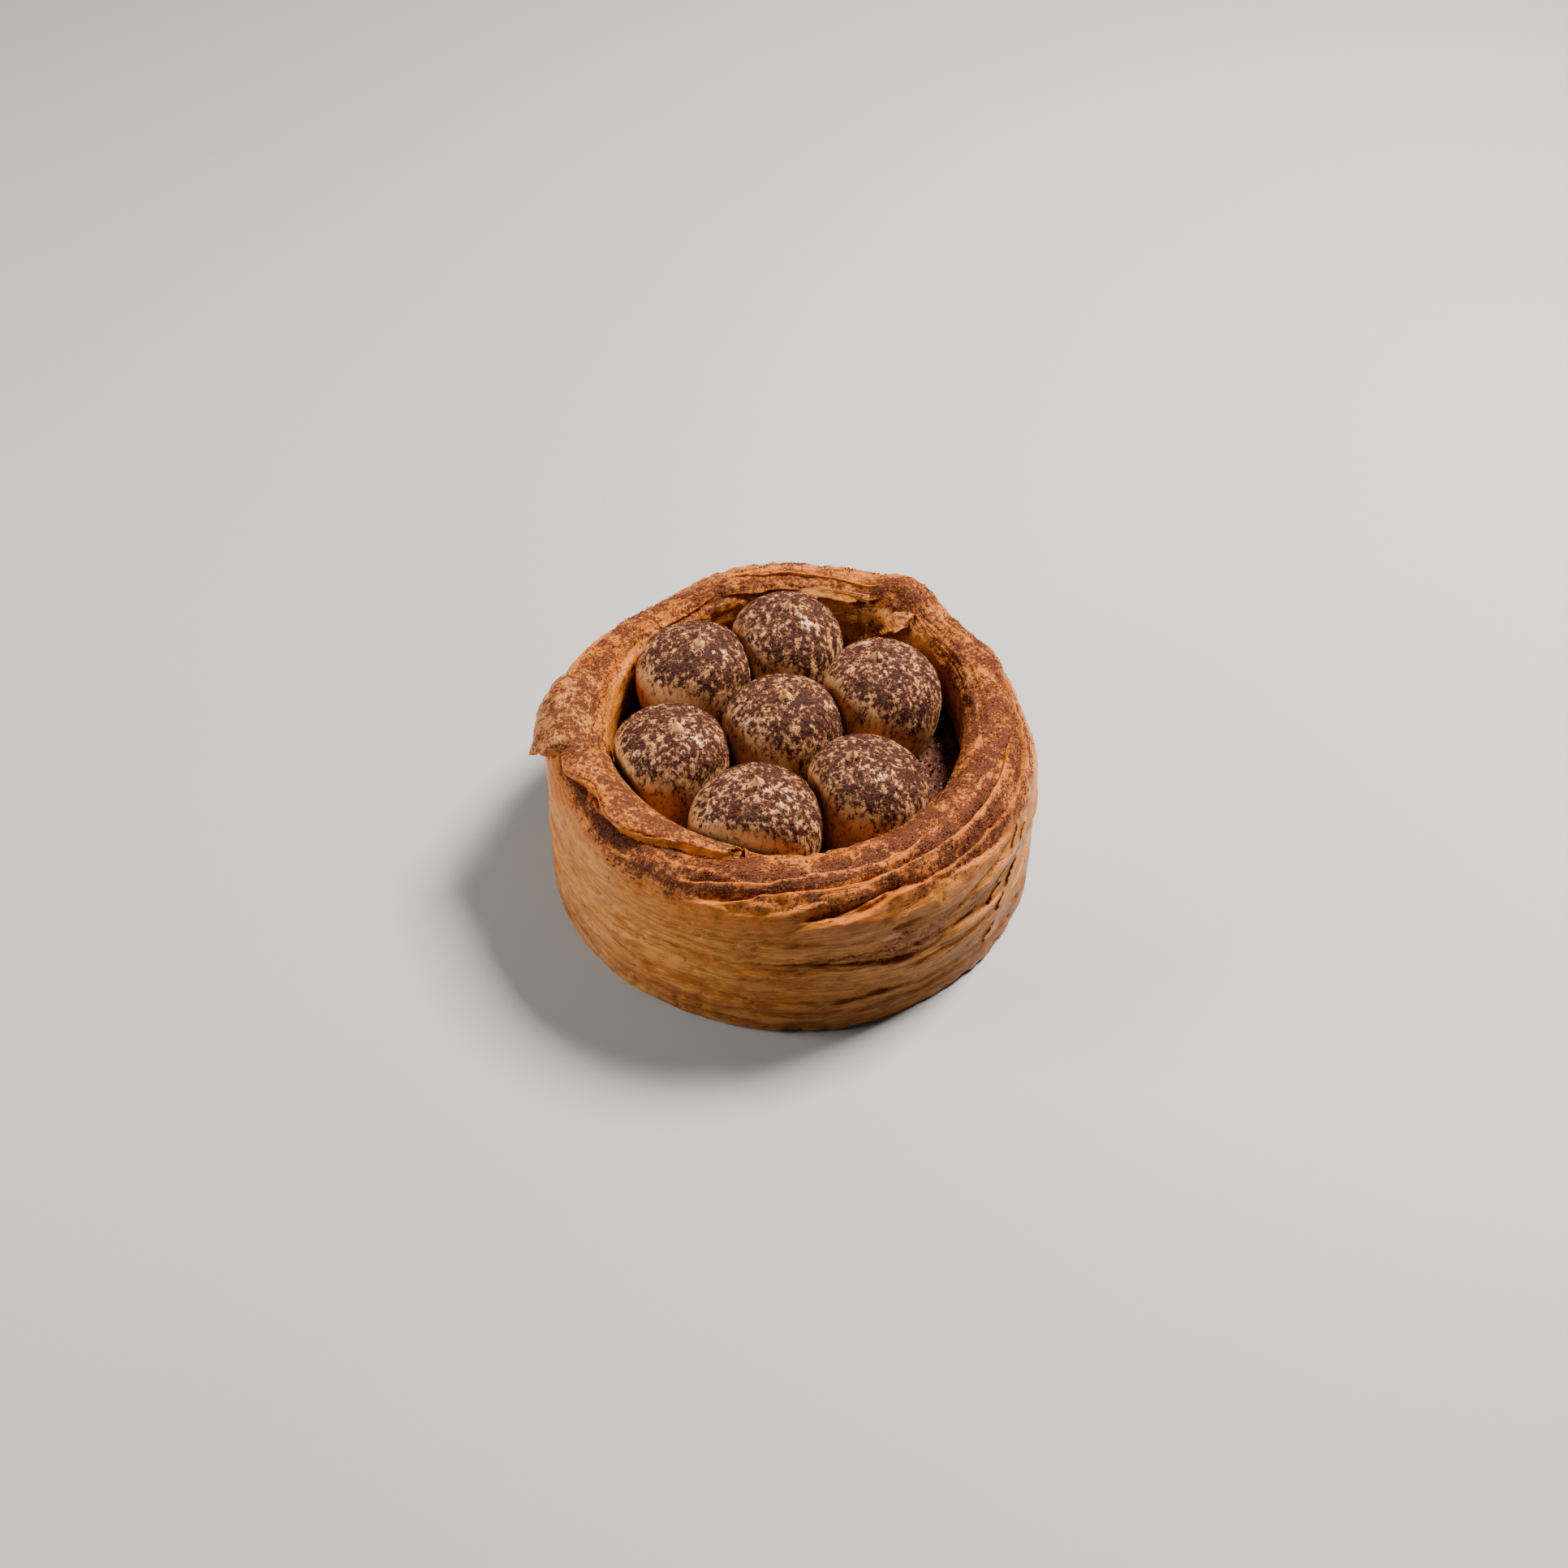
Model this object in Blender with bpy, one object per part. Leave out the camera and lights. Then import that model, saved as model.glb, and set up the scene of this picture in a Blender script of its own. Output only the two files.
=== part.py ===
"""Tiramisu tart: a ring-baked case of laminated dough, filled, with seven piped cream domes.

Run with: blender --background --python part.py
Metres, +Z up. The origin is the centre of the flat base, and -Y is the front.

The case is a loft round a turned section, and the edges of the rolled dough layers stand out of
it as they climb round the rim. A point of the case is named by its azimuth (degrees, counter-
clockwise from +X) and by its run, which is the distance in mm along the section from the foot
of the outer wall, over the crest and down inside. The rows of the loft follow the layer edges.
"""

import math
from collections import namedtuple

import bmesh
import bpy
import numpy as np

MM = 0.001

# Driving sizes, in mm
WALL_RADIUS = 47.3  # outer wall, straight from the baking ring
SHOULDER_HEIGHT = 26.0  # where the wall starts to round over
CREST_RADIUS = 40.3
CREST_HEIGHT = 36.4
LIP_DROP = 5.5  # from the crest down to the top of the inner wall
OPENING_RADIUS = 33.7
OPENING_SHIFT = 1.9  # the opening sits off the middle of the case
OPENING_SHIFT_AZIMUTH = 115.0
FILLING_HEIGHT = 21.0  # top of the filling
FLOOR_THICKNESS = 8.0
FOOT_ROUNDING = 0.9
CLEARANCE = 0.3  # between pieces that touch

# Facets
CASE_COLUMNS = 112
DOME_COLUMNS = 24
DOME_FOOT_ROWS = 3
DOME_CAP_ROWS = 6
DOME_TIP_ROWS = 3

# Where each layer edge runs: (azimuth, run) points of a closed line round the case. The rows of
# the loft follow these lines from the lowest to the highest.
SEAM = ((90, 17), (209, 20.3), (228, 18.7), (247, 20), (267, 18.2), (286, 16.9), (305, 14.8))
THIRD = ((60, 32), (150, 31), (200, 26), (255, 28), (273, 30.2), (301, 33.5), (330, 34.5), (388, 36))
SECOND = ((40, 39), (100, 36), (160, 34), (215, 31), (252, 32.8), (261, 35.6), (271, 37), (328, 38.4))
ROLL = ((60, 42), (110, 40), (165, 38), (205, 34), (232, 33.2), (251, 36.6), (271, 39.9), (350, 41.8))
LIP = ((55, 45), (100, 45.6), (140, 44), (172, 41.2), (196, 44.3), (252, 47.4), (300, 47), (390, 46))
EDGES = {"seam": SEAM, "third": THIRD, "second": SECOND, "roll": ROLL, "lip": LIP}

# A layer ends at one of those lines between two azimuths. It stands proud by lift on one side
# of its edge, and the next layer is tucked in by groove on the other (mm). Below is True where
# the proud layer is on the foot's side.
Layer = namedtuple("Layer", "edge start end lift groove reach below")
LAYERS = (
    Layer("roll", 238, 318, 0.5, 1.1, 2.2, True),
    Layer("second", 246, 358, 0.7, 2.6, 3.0, True),
    Layer("third", 264, 385, 0.4, 0.9, 3.0, True),
    Layer("third", 40, 160, 0.3, 0.5, 3.0, True),
    Layer("roll", 62, 165, 0.3, 0.8, 2.5, True),
    Layer("seam", 205, 325, 0.3, 0.5, 4.0, True),
    Layer("lip", 178, 254, 1.3, 1.5, 5.0, False),
    Layer("lip", 50, 108, 0.3, 1.0, 2.5, True),
)

# A bump is centred on an azimuth and a run and spreads by so many degrees and mm. It moves the
# surface outwards and upwards by so many mm.
Bump = namedtuple("Bump", "azimuth run spread_azimuth spread_run outwards upwards")
BUMPS = (
    Bump(52, 39.0, 4.5, 7.0, 0.2, 5.0),  # corner where the outer layer ends
    Bump(10, 34.0, 15.0, 9.0, -1.6, -1.4),  # low shoulder at the right
    Bump(34, 33.0, 8.0, 8.0, -0.4, -0.3),
    Bump(80, 37.0, 14.0, 9.0, -0.2, -0.6),  # back of the rim
    Bump(129, 35.0, 11.0, 10.0, -0.8, -2.7),  # low stretch at the back left
    Bump(150, 34.0, 8.0, 9.0, -0.3, -0.4),
    Bump(171, 39.0, 10.0, 5.0, 0.0, 1.6),  # crossing of two layers at the left
    Bump(305, 45.0, 26.0, 4.0, -0.3, 0.9),  # front lip leans inwards
    Bump(222, 40.0, 16.0, 5.0, 0.0, 0.4),
    Bump(332, 18.0, 10.0, 7.0, 0.3, 0.0),
    Bump(192, 27.0, 13.0, 7.0, -0.6, 0.0),  # hollow under the folded flap
    Bump(218, 9.0, 13.0, 8.0, 0.6, 0.0),
)

# A flake is the loose end of a layer: a thin sheet between two edges, each given by its ends as
# (azimuth, run). The root is fused with the case and the free edge stands off it by lift.
Flake = namedtuple("Flake", "root_a root_b free_a free_b lift thickness")
FLAKES = (
    Flake((166, 39.5), (192, 39.5), (180, 34.8), (188.5, 33.0), 3.3, 1.3),  # over the left shoulder
    Flake((347, 7.0), (349, 28.0), (319, 7.0), (334, 28.5), 1.7, 1.2),  # peeling at the right
    Flake((98, 47.0), (97, 54.5), (55, 45.0), (60, 53.5), 2.0, 1.5),  # torn inner layer, back
)
FLAKE_COLUMNS = 10
FLAKE_ROWS = 5

# A dome of cream: its middle on the filling, its widths across and front to back, its height
# and how far its top leans. All in mm.
Dome = namedtuple("Dome", "x y width depth height lean_x lean_y")
DOMES = (
    Dome(-1.7, 1.4, 23.4, 23.2, 21.3, 0.6, -2.6),
    Dome(17.7, 10.1, 23.4, 23.4, 21.2, -1.6, -0.8),
    Dome(-1.1, 23.2, 22.8, 22.8, 21.3, 0.3, -0.2),
    Dome(-18.8, 16.4, 23.6, 23.4, 21.0, 1.3, -3.4),
    Dome(-23.2, -6.3, 23.2, 23.4, 21.0, 2.4, -3.0),
    Dome(-6.5, -23.1, 25.0, 22.8, 21.1, 0.6, 0.4),
    Dome(14.6, -14.8, 22.8, 22.6, 21.1, -3.6, -1.4),
)
DOME_WAIST = 0.44  # height of the widest level, as a share of the dome's height
DOME_FOOT = 0.84  # width at the filling, as a share of the widest
DOME_SHARPNESS = 0.94  # below 1 draws the cap up to a point
TIP_HEIGHT = 1.9
TIP_RADIUS = 1.1
CROWDING = 24.0  # how abruptly a dome flattens against its neighbour

# Colours (linear) and roughness
CRUST = ((0.50, 0.25, 0.085), 0.55)
CREAM = ((0.66, 0.45, 0.26), 0.5)
COCOA = ((0.06, 0.022, 0.014), 0.9)


def smooth(x):
    """0 below 0, 1 above 1, and an eased step between."""
    x = np.clip(x, 0.0, 1.0)
    return x * x * (3.0 - 2.0 * x)


def opening_centre():
    """Middle of the opening and of the cavity, in the plane."""
    angle = math.radians(OPENING_SHIFT_AZIMUTH)
    return OPENING_SHIFT * math.cos(angle), OPENING_SHIFT * math.sin(angle)


def opening_radius(azimuth):
    """Distance from the case's axis to the opening's edge at this azimuth."""
    angle = np.radians(azimuth - OPENING_SHIFT_AZIMUTH)
    across = OPENING_SHIFT * np.sin(angle)
    return OPENING_SHIFT * np.cos(angle) + np.sqrt(OPENING_RADIUS**2 - across**2)


def section(step, inner):
    """The turned section as (radius, height): step goes 0..5 through its five pieces."""
    foot, wall, shoulder, lip, inside = (np.clip(step - i, 0.0, 1.0) for i in range(5))
    quarter = math.pi / 2
    radius = WALL_RADIUS - FOOT_ROUNDING * (1.0 - np.sin(foot * quarter))
    radius = radius - (WALL_RADIUS - CREST_RADIUS) * (1.0 - np.cos(shoulder * quarter))
    radius = radius - (CREST_RADIUS - inner) * np.sin(lip * quarter)
    height = FOOT_ROUNDING * (1.0 - np.cos(foot * quarter))
    height = height + (SHOULDER_HEIGHT - FOOT_ROUNDING) * wall
    height = height + (CREST_HEIGHT - SHOULDER_HEIGHT) * np.sin(shoulder * quarter)
    height = height - LIP_DROP * (1.0 - np.cos(lip * quarter))
    height = height - (CREST_HEIGHT - LIP_DROP - FILLING_HEIGHT - CLEARANCE) * inside
    return radius, height


def run_table():
    """Steps through the section, and the run from the foot to each."""
    steps = np.linspace(0.0, 5.0, 1001)
    radius, height = section(steps, OPENING_RADIUS)
    lengths = np.hypot(np.diff(radius), np.diff(height))
    return steps, np.concatenate(([0.0], np.cumsum(lengths)))


STEPS, RUNS = run_table()
INNER_WALL_RUN = float(np.interp(4.0, STEPS, RUNS))
LAST_RUN = float(RUNS[-1])


def edge_run(name, azimuth):
    """Run of a layer edge at each azimuth, eased between its points."""
    where, run = zip(*EDGES[name])
    offsets = (-6.0, -3.0, 0.0, 3.0, 6.0)
    near = [np.interp(azimuth + offset, where, run, period=360.0) for offset in offsets]
    return sum(near) / len(near)


def layer_height(layer, azimuth, run):
    """How far one layer's edge moves the surface along its normal."""
    along = (azimuth - layer.start) % 360.0
    length = layer.end - layer.start
    fade = smooth(along / 14.0) * smooth((length - along) / 14.0)
    beyond = run - edge_run(layer.edge, azimuth)
    if not layer.below:
        beyond = -beyond
    step = smooth(beyond / 1.1)
    proud = layer.lift * np.exp(np.minimum(beyond, 0.0) / layer.reach)
    tucked = layer.groove * np.exp(-np.maximum(beyond, 0.0) / 2.2)
    return fade * (proud * (1.0 - step) - tucked * step)


def case_surface(azimuth, run, standoff=0.0):
    """(x, y, z) points of the case's surface, standing off it along its normal."""
    inner = opening_radius(azimuth)
    radius, height = section(np.interp(run, RUNS, STEPS), inner)
    before = section(np.interp(run - 0.4, RUNS, STEPS), inner)
    after = section(np.interp(run + 0.4, RUNS, STEPS), inner)
    along_r, along_z = after[0] - before[0], after[1] - before[1]
    length = np.hypot(along_r, along_z)
    rise = smooth(run / 6.0) * smooth((58.0 - run) / 5.0)
    waves = np.sin(np.radians(3 * azimuth + 40)) + 0.7 * np.sin(np.radians(7 * azimuth) + run / 9.0)
    moved = 0.12 * waves + sum(layer_height(layer, azimuth, run) for layer in LAYERS)
    moved = moved * rise + standoff
    radius = radius + moved * along_z / length
    height = height - moved * along_r / length
    for bump in BUMPS:
        across = ((azimuth - bump.azimuth + 180.0) % 360.0 - 180.0) / bump.spread_azimuth
        weight = rise * np.exp(-0.5 * (across**2 + ((run - bump.run) / bump.spread_run) ** 2))
        radius = radius + weight * bump.outwards
        height = height + weight * bump.upwards
    angle = np.radians(azimuth)
    return np.stack((radius * np.cos(angle), radius * np.sin(angle), height), axis=-1)


def case_rows(azimuth):
    """Runs of the loft's rows at each azimuth, shape (rows, azimuths)."""
    seam, third, second, roll, lip = (edge_run(name, azimuth) for name in EDGES)
    still = np.zeros_like(azimuth)
    inner_wall = still + INNER_WALL_RUN
    rows = [still, still + 0.7, still + FOOT_ROUNDING * math.pi / 2, 0.35 * seam, 0.7 * seam]
    spans = (
        (seam, third, (0.4, 0.75)),
        (third, second, (0.7,)),
        (second, roll, (0.7,)),
        (roll, lip, (0.45, 0.8)),
        (lip, inner_wall, (0.65,)),
    )
    for low, high, shares in spans:
        rows.append(low)
        rows.append(low + np.minimum(1.1, 0.35 * (high - low)))
        rows.extend(low + (high - low) * share for share in shares)
    rows.extend((inner_wall, inner_wall + 4.0, still + LAST_RUN))
    return np.stack(rows)


def new_object(name, bm, finish, collection):
    """Puts a bmesh, in mm, into a smooth shaded object with its own material."""
    bmesh.ops.recalc_face_normals(bm, faces=bm.faces)
    bmesh.ops.scale(bm, vec=(MM, MM, MM), verts=bm.verts)
    mesh = bpy.data.meshes.new(name)
    bm.to_mesh(mesh)
    bm.free()
    mesh.shade_smooth()
    mesh.set_sharp_from_angle(angle=math.radians(50))
    colour, roughness = finish
    material = bpy.data.materials.new(name + "_material")
    material.use_nodes = True
    shader = material.node_tree.nodes["Principled BSDF"]
    shader.inputs["Base Color"].default_value = (*colour, 1.0)
    shader.inputs["Roughness"].default_value = roughness
    mesh.materials.append(material)
    obj = bpy.data.objects.new(name, mesh)
    collection.objects.link(obj)
    return obj


def loft(rings):
    """A bmesh closed round through rings of the same count, with a flat face at each end."""
    bm = bmesh.new()
    made = [[bm.verts.new(point) for point in ring] for ring in rings]
    count = len(made[0])
    for low, high in zip(made, made[1:]):
        for i in range(count):
            j = (i + 1) % count
            bm.faces.new((low[i], low[j], high[j], high[i]))
    bm.faces.new(list(reversed(made[0])))
    bm.faces.new(made[-1])
    return bm


def build_flake(index, flake, collection):
    """The thin sheet of one flake, lofted through the rings of its section."""
    share = np.linspace(0.0, 1.0, FLAKE_ROWS)
    there = np.concatenate((share, share[::-1]))
    side = np.concatenate((np.zeros(FLAKE_ROWS), np.ones(FLAKE_ROWS)))
    rings = []
    for i in range(FLAKE_COLUMNS):
        along = i / (FLAKE_COLUMNS - 1)
        root = np.array(flake.root_a) * (1 - along) + np.array(flake.root_b) * along
        free = np.array(flake.free_a) * (1 - along) + np.array(flake.free_b) * along
        ragged = 1.0 - 0.08 * abs(math.sin(7.0 * along + index))
        azimuth = root[0] + (free[0] - root[0]) * there * ragged
        run = root[1] + (free[1] - root[1]) * there * ragged
        top = 0.25 + flake.lift * there**1.6
        depth = flake.thickness * (1.0 - 0.35 * there)
        rings.append(case_surface(azimuth, run, top - depth * side))
    new_object(f"flake_{index}", loft(rings), CRUST, collection)


def fuse(obj, collection):
    """Joins a collection's objects to an object with one Boolean union, and removes them."""
    union = obj.modifiers.new("flakes", "BOOLEAN")
    union.operation = "UNION"
    union.solver = "EXACT"
    union.operand_type = "COLLECTION"
    union.collection = collection
    depsgraph = bpy.context.evaluated_depsgraph_get()
    fused = bpy.data.meshes.new_from_object(obj.evaluated_get(depsgraph))
    obj.modifiers.clear()
    obj.data = fused
    for tool in list(collection.objects):
        bpy.data.objects.remove(tool, do_unlink=True)
    bpy.data.collections.remove(collection)


def build_case(collection):
    """The laminated dough case, open to the filling, with its loose flakes fused on."""
    azimuth = np.arange(CASE_COLUMNS) * 360.0 / CASE_COLUMNS
    rings = [case_surface(azimuth, run) for run in case_rows(azimuth)]
    angle = np.radians(azimuth)
    inner = opening_radius(azimuth)
    floor = np.full(CASE_COLUMNS, FLOOR_THICKNESS)
    rings.append(np.stack((inner * np.cos(angle), inner * np.sin(angle), floor), axis=-1))
    case = new_object("pastry_case", loft(rings), CRUST, collection)
    flakes = bpy.data.collections.new("flakes")
    bpy.context.scene.collection.children.link(flakes)
    for index, flake in enumerate(FLAKES, start=1):
        build_flake(index, flake, flakes)
    fuse(case, flakes)


def build_filling(collection):
    """The filling, from the case's floor up to the level that shows between the domes."""
    bottom = FLOOR_THICKNESS + CLEARANCE
    bm = bmesh.new()
    bmesh.ops.create_cone(
        bm,
        cap_ends=True,
        segments=CASE_COLUMNS // 2,
        radius1=OPENING_RADIUS - 2 * CLEARANCE,
        radius2=OPENING_RADIUS - 2 * CLEARANCE,
        depth=FILLING_HEIGHT - bottom,
    )
    middle = (*opening_centre(), (FILLING_HEIGHT + bottom) / 2)
    bmesh.ops.translate(bm, vec=middle, verts=bm.verts)
    return new_object("filling", bm, COCOA, collection)


def dome_profile(height):
    """(share of the widest radius, height, tip radius) levels of a dome, foot to tip."""
    waist = DOME_WAIST * height
    cap = height - waist
    levels = []
    for i in range(DOME_FOOT_ROWS):
        share = i / DOME_FOOT_ROWS
        spread = DOME_FOOT + (1.0 - DOME_FOOT) * math.sin(share * math.pi / 2)
        levels.append((spread, waist * share, 0.0))
    for i in range(DOME_CAP_ROWS):
        angle = math.pi / 2 * i / DOME_CAP_ROWS
        levels.append((math.cos(angle), waist + cap * math.sin(angle) ** DOME_SHARPNESS, 0.0))
    for i in range(DOME_TIP_ROWS):
        share = i / DOME_TIP_ROWS
        levels.append((0.0, height + TIP_HEIGHT * share, TIP_RADIUS * (1.0 - share) ** 1.4))
    return levels


def room_for(dome, px, py, ux, uy):
    """How far a level of a dome can spread from its middle, to its neighbours and the wall."""
    room = math.inf
    for other in DOMES:
        if other is dome:
            continue
        dx, dy = other.x - dome.x, other.y - dome.y
        distance = math.hypot(dx, dy)
        nx, ny = dx / distance, dy / distance
        border = distance * dome.width / (dome.width + other.width) - CLEARANCE / 2
        border -= nx * (px - dome.x) + ny * (py - dome.y)
        facing = ux * nx + uy * ny
        if facing > 0.02:
            room = min(room, border / facing)
    cx, cy = opening_centre()
    qx, qy = px - cx, py - cy
    along = qx * ux + qy * uy
    limit = OPENING_RADIUS - 2.5 * CLEARANCE
    to_wall = -along + math.sqrt(max(0.0, along**2 - (qx**2 + qy**2) + limit**2))
    return min(room, to_wall)


def build_dome(index, dome, collection):
    """One piped dome. It stands on the filling and flattens where it meets its neighbours."""
    angles = [2 * math.pi * i / DOME_COLUMNS for i in range(DOME_COLUMNS)]
    rings = []
    for share, level, tip in dome_profile(dome.height):
        raised = (level / dome.height) ** 3
        px = dome.x + dome.lean_x * raised
        py = dome.y + dome.lean_y * raised
        ring = []
        for angle in angles:
            ux, uy = math.cos(angle), math.sin(angle)
            free = share / math.hypot(ux / dome.width, uy / dome.depth) / 2
            room = room_for(dome, px, py, ux, uy)
            spread = free / (1.0 + (free / room) ** CROWDING) ** (1.0 / CROWDING)
            spread = max(spread, tip)
            ring.append((px + spread * ux, py + spread * uy, FILLING_HEIGHT + CLEARANCE + level))
        rings.append(ring)
    return new_object(f"cream_dome_{index}", loft(rings), CREAM, collection)


def main():
    """Clears the scene and builds the tart."""
    for obj in list(bpy.data.objects):
        bpy.data.objects.remove(obj, do_unlink=True)
    tart = bpy.data.collections.new("tiramisu_tart")
    bpy.context.scene.collection.children.link(tart)
    build_case(tart)
    build_filling(tart)
    for index, dome in enumerate(DOMES, start=1):
        build_dome(index, dome, tart)


main()
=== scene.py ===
"""Tiramisu tart, dressed: a laminated dough case, dusted cream domes and the filling between them.

Sizes are in mm and become metres when a mesh is made. +Z is up and -Y is the front. A point of the
case is named by its azimuth (degrees, counter-clockwise from +X) and by its run, which is the
distance along the section from the foot of the outer wall, over the crest and down inside.
"""

from __future__ import annotations

import logging
import math
from dataclasses import dataclass
from enum import Enum
from functools import cached_property
from typing import NamedTuple

import bpy
import numpy as np
from numpy import ndarray as Array
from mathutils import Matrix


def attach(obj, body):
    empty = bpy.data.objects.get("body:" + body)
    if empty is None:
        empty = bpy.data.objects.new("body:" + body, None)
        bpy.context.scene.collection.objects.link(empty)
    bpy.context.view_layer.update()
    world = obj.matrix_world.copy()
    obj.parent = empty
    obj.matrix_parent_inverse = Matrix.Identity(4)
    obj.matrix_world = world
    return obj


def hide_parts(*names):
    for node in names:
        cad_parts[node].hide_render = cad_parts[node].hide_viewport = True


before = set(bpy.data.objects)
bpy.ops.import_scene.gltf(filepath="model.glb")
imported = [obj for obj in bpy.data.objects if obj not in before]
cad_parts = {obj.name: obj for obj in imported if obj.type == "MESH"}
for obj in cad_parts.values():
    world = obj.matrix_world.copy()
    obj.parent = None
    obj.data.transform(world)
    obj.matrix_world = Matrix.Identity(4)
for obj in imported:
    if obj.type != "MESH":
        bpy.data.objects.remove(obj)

MM = 0.001
BODY = "root"
TURN = 360.0
QUARTER = math.pi / 2
LOG = logging.getLogger("tart")

Socket = bpy.types.NodeSocket
Finish = bpy.types.Material
Colour = tuple[float, float, float]


# ---------------------------------------------------------------- shared sums


def smooth(x: Array) -> Array:
    """0 below 0, 1 above 1, and an eased step between."""
    x = np.clip(x, 0.0, 1.0)
    return x * x * (3.0 - 2.0 * x)


def bell(x: Array) -> Array:
    """1 at 0, falling away evenly on both sides as exp(-x squared)."""
    return np.exp(-np.square(x))


def apart(azimuth: Array, middle: float) -> Array:
    """Signed degrees from a middle azimuth, the short way round."""
    return (azimuth - middle + TURN / 2) % TURN - TURN / 2


def tapered(along: Array, left: Array, start: float, end: float) -> Array:
    """1 along a stretch, eased to 0 over a length at its start and another at its end."""
    return smooth(along / start) * smooth(left / end)


def eased(where: Array, known: Array, values: Array, reach: float) -> Array:
    """A polyline's value, averaged over a reach on both sides so that its corners are round."""
    shifts = (-reach, -0.5 * reach, 0.0, 0.5 * reach, reach)
    return sum(np.interp(where + shift, known, values) for shift in shifts) / len(shifts)


@dataclass(frozen=True)
class Noise:
    """Smooth seeded noise in space.

    Random heights sit on the corners of a lattice, and a point gets the blend of the eight
    corners of its cell, weighted by an eased share along each axis.
    """

    seed: int
    table: int = 1024  # heights before they repeat
    shift: float = 17.3  # cells that each finer layer is moved by

    def value(self, points: Array) -> Array:
        """One layer of noise.

        Args:
            points: positions in cells, with x, y and z on the last axis.

        Returns:
            A height between -1 and 1 for each position.
        """
        rng = np.random.default_rng(self.seed)
        shuffle = rng.permutation(self.table)
        heights = rng.uniform(-1.0, 1.0, self.table)
        cell = np.floor(points).astype(np.int64)
        share = smooth(points - cell)
        total = np.zeros(points.shape[:-1])
        for corner in range(8):
            step = np.array((corner & 1, corner >> 1 & 1, corner >> 2 & 1))
            at = cell + step
            key = shuffle[at[..., 0] % self.table]
            key = shuffle[(key + at[..., 1]) % self.table]
            key = shuffle[(key + at[..., 2]) % self.table]
            weight = np.prod(np.where(step == 1, share, 1.0 - share), axis=-1)
            total += weight * heights[key]
        return total

    def layered(self, points: Array, octaves: int = 3, fade: float = 0.5) -> Array:
        """Sum of layers, each twice as fine as the last and weaker by fade.

        Args:
            points: positions in cells of the coarsest layer.
            octaves: number of layers.
            fade: strength of a layer as a share of the one before.

        Returns:
            A height for each position, mostly between -1 and 1.
        """
        total, strength = np.zeros(points.shape[:-1]), 1.0
        for octave in range(octaves):
            finer = points * 2.0**octave + self.shift * octave
            total += strength * Noise(self.seed + octave).value(finer)
            strength *= fade
        return total


def normals_of(points: Array, closed: bool) -> tuple[Array, Array]:
    """Outward normals of a grid, from the cross product of its steps round and up.

    Args:
        points: positions, shape (rows, columns, 3), counter-clockwise round and upwards.
        closed: whether the columns meet all the way round.

    Returns:
        Unit normals of the same shape, and the area that each point stands for.
    """
    if closed:
        across = 0.5 * (np.roll(points, -1, axis=1) - np.roll(points, 1, axis=1))
    else:
        across = np.gradient(points, axis=1)
    normal = np.cross(across, np.gradient(points, axis=0))
    area = np.linalg.norm(normal, axis=-1)
    return normal / np.maximum(area, 1e-9)[..., None], area


class Surface(NamedTuple):
    """A finished piece's grid, for strewing grains over it."""

    points: Array
    normal: Array
    area: Array
    dust: Array


# ---------------------------------------------------------------- meshes


def grid_faces(rows: int, columns: int, closed: bool, first: int = 0) -> Array:
    """Four-sided faces between the rows of a grid, outward for points counted as normals_of says.

    Args:
        rows: number of rows of points.
        columns: number of points in a row.
        closed: whether the last column joins the first.
        first: index of the grid's first point.

    Returns:
        Point indices, shape (faces, 4).
    """
    row = np.arange(rows - 1)[:, None]
    column = np.arange(columns if closed else columns - 1)[None]
    beside = (column + 1) % columns
    low, high = row * columns, (row + 1) * columns
    corners = (low + column, low + beside, high + beside, high + column)
    return first + np.stack(corners, axis=-1).reshape(-1, 4)


def fan_faces(ring: Array, pole: int, over: bool) -> Array:
    """Triangles from a pole to a ring of points.

    Args:
        ring: point indices, counter-clockwise.
        pole: the pole's index.
        over: whether the faces look up, and not down.

    Returns:
        Point indices, shape (faces, 3).
    """
    beside = np.roll(ring, -1)
    pair = (ring, beside) if over else (beside, ring)
    return np.stack((np.full_like(ring, pole), *pair), axis=-1)


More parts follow.
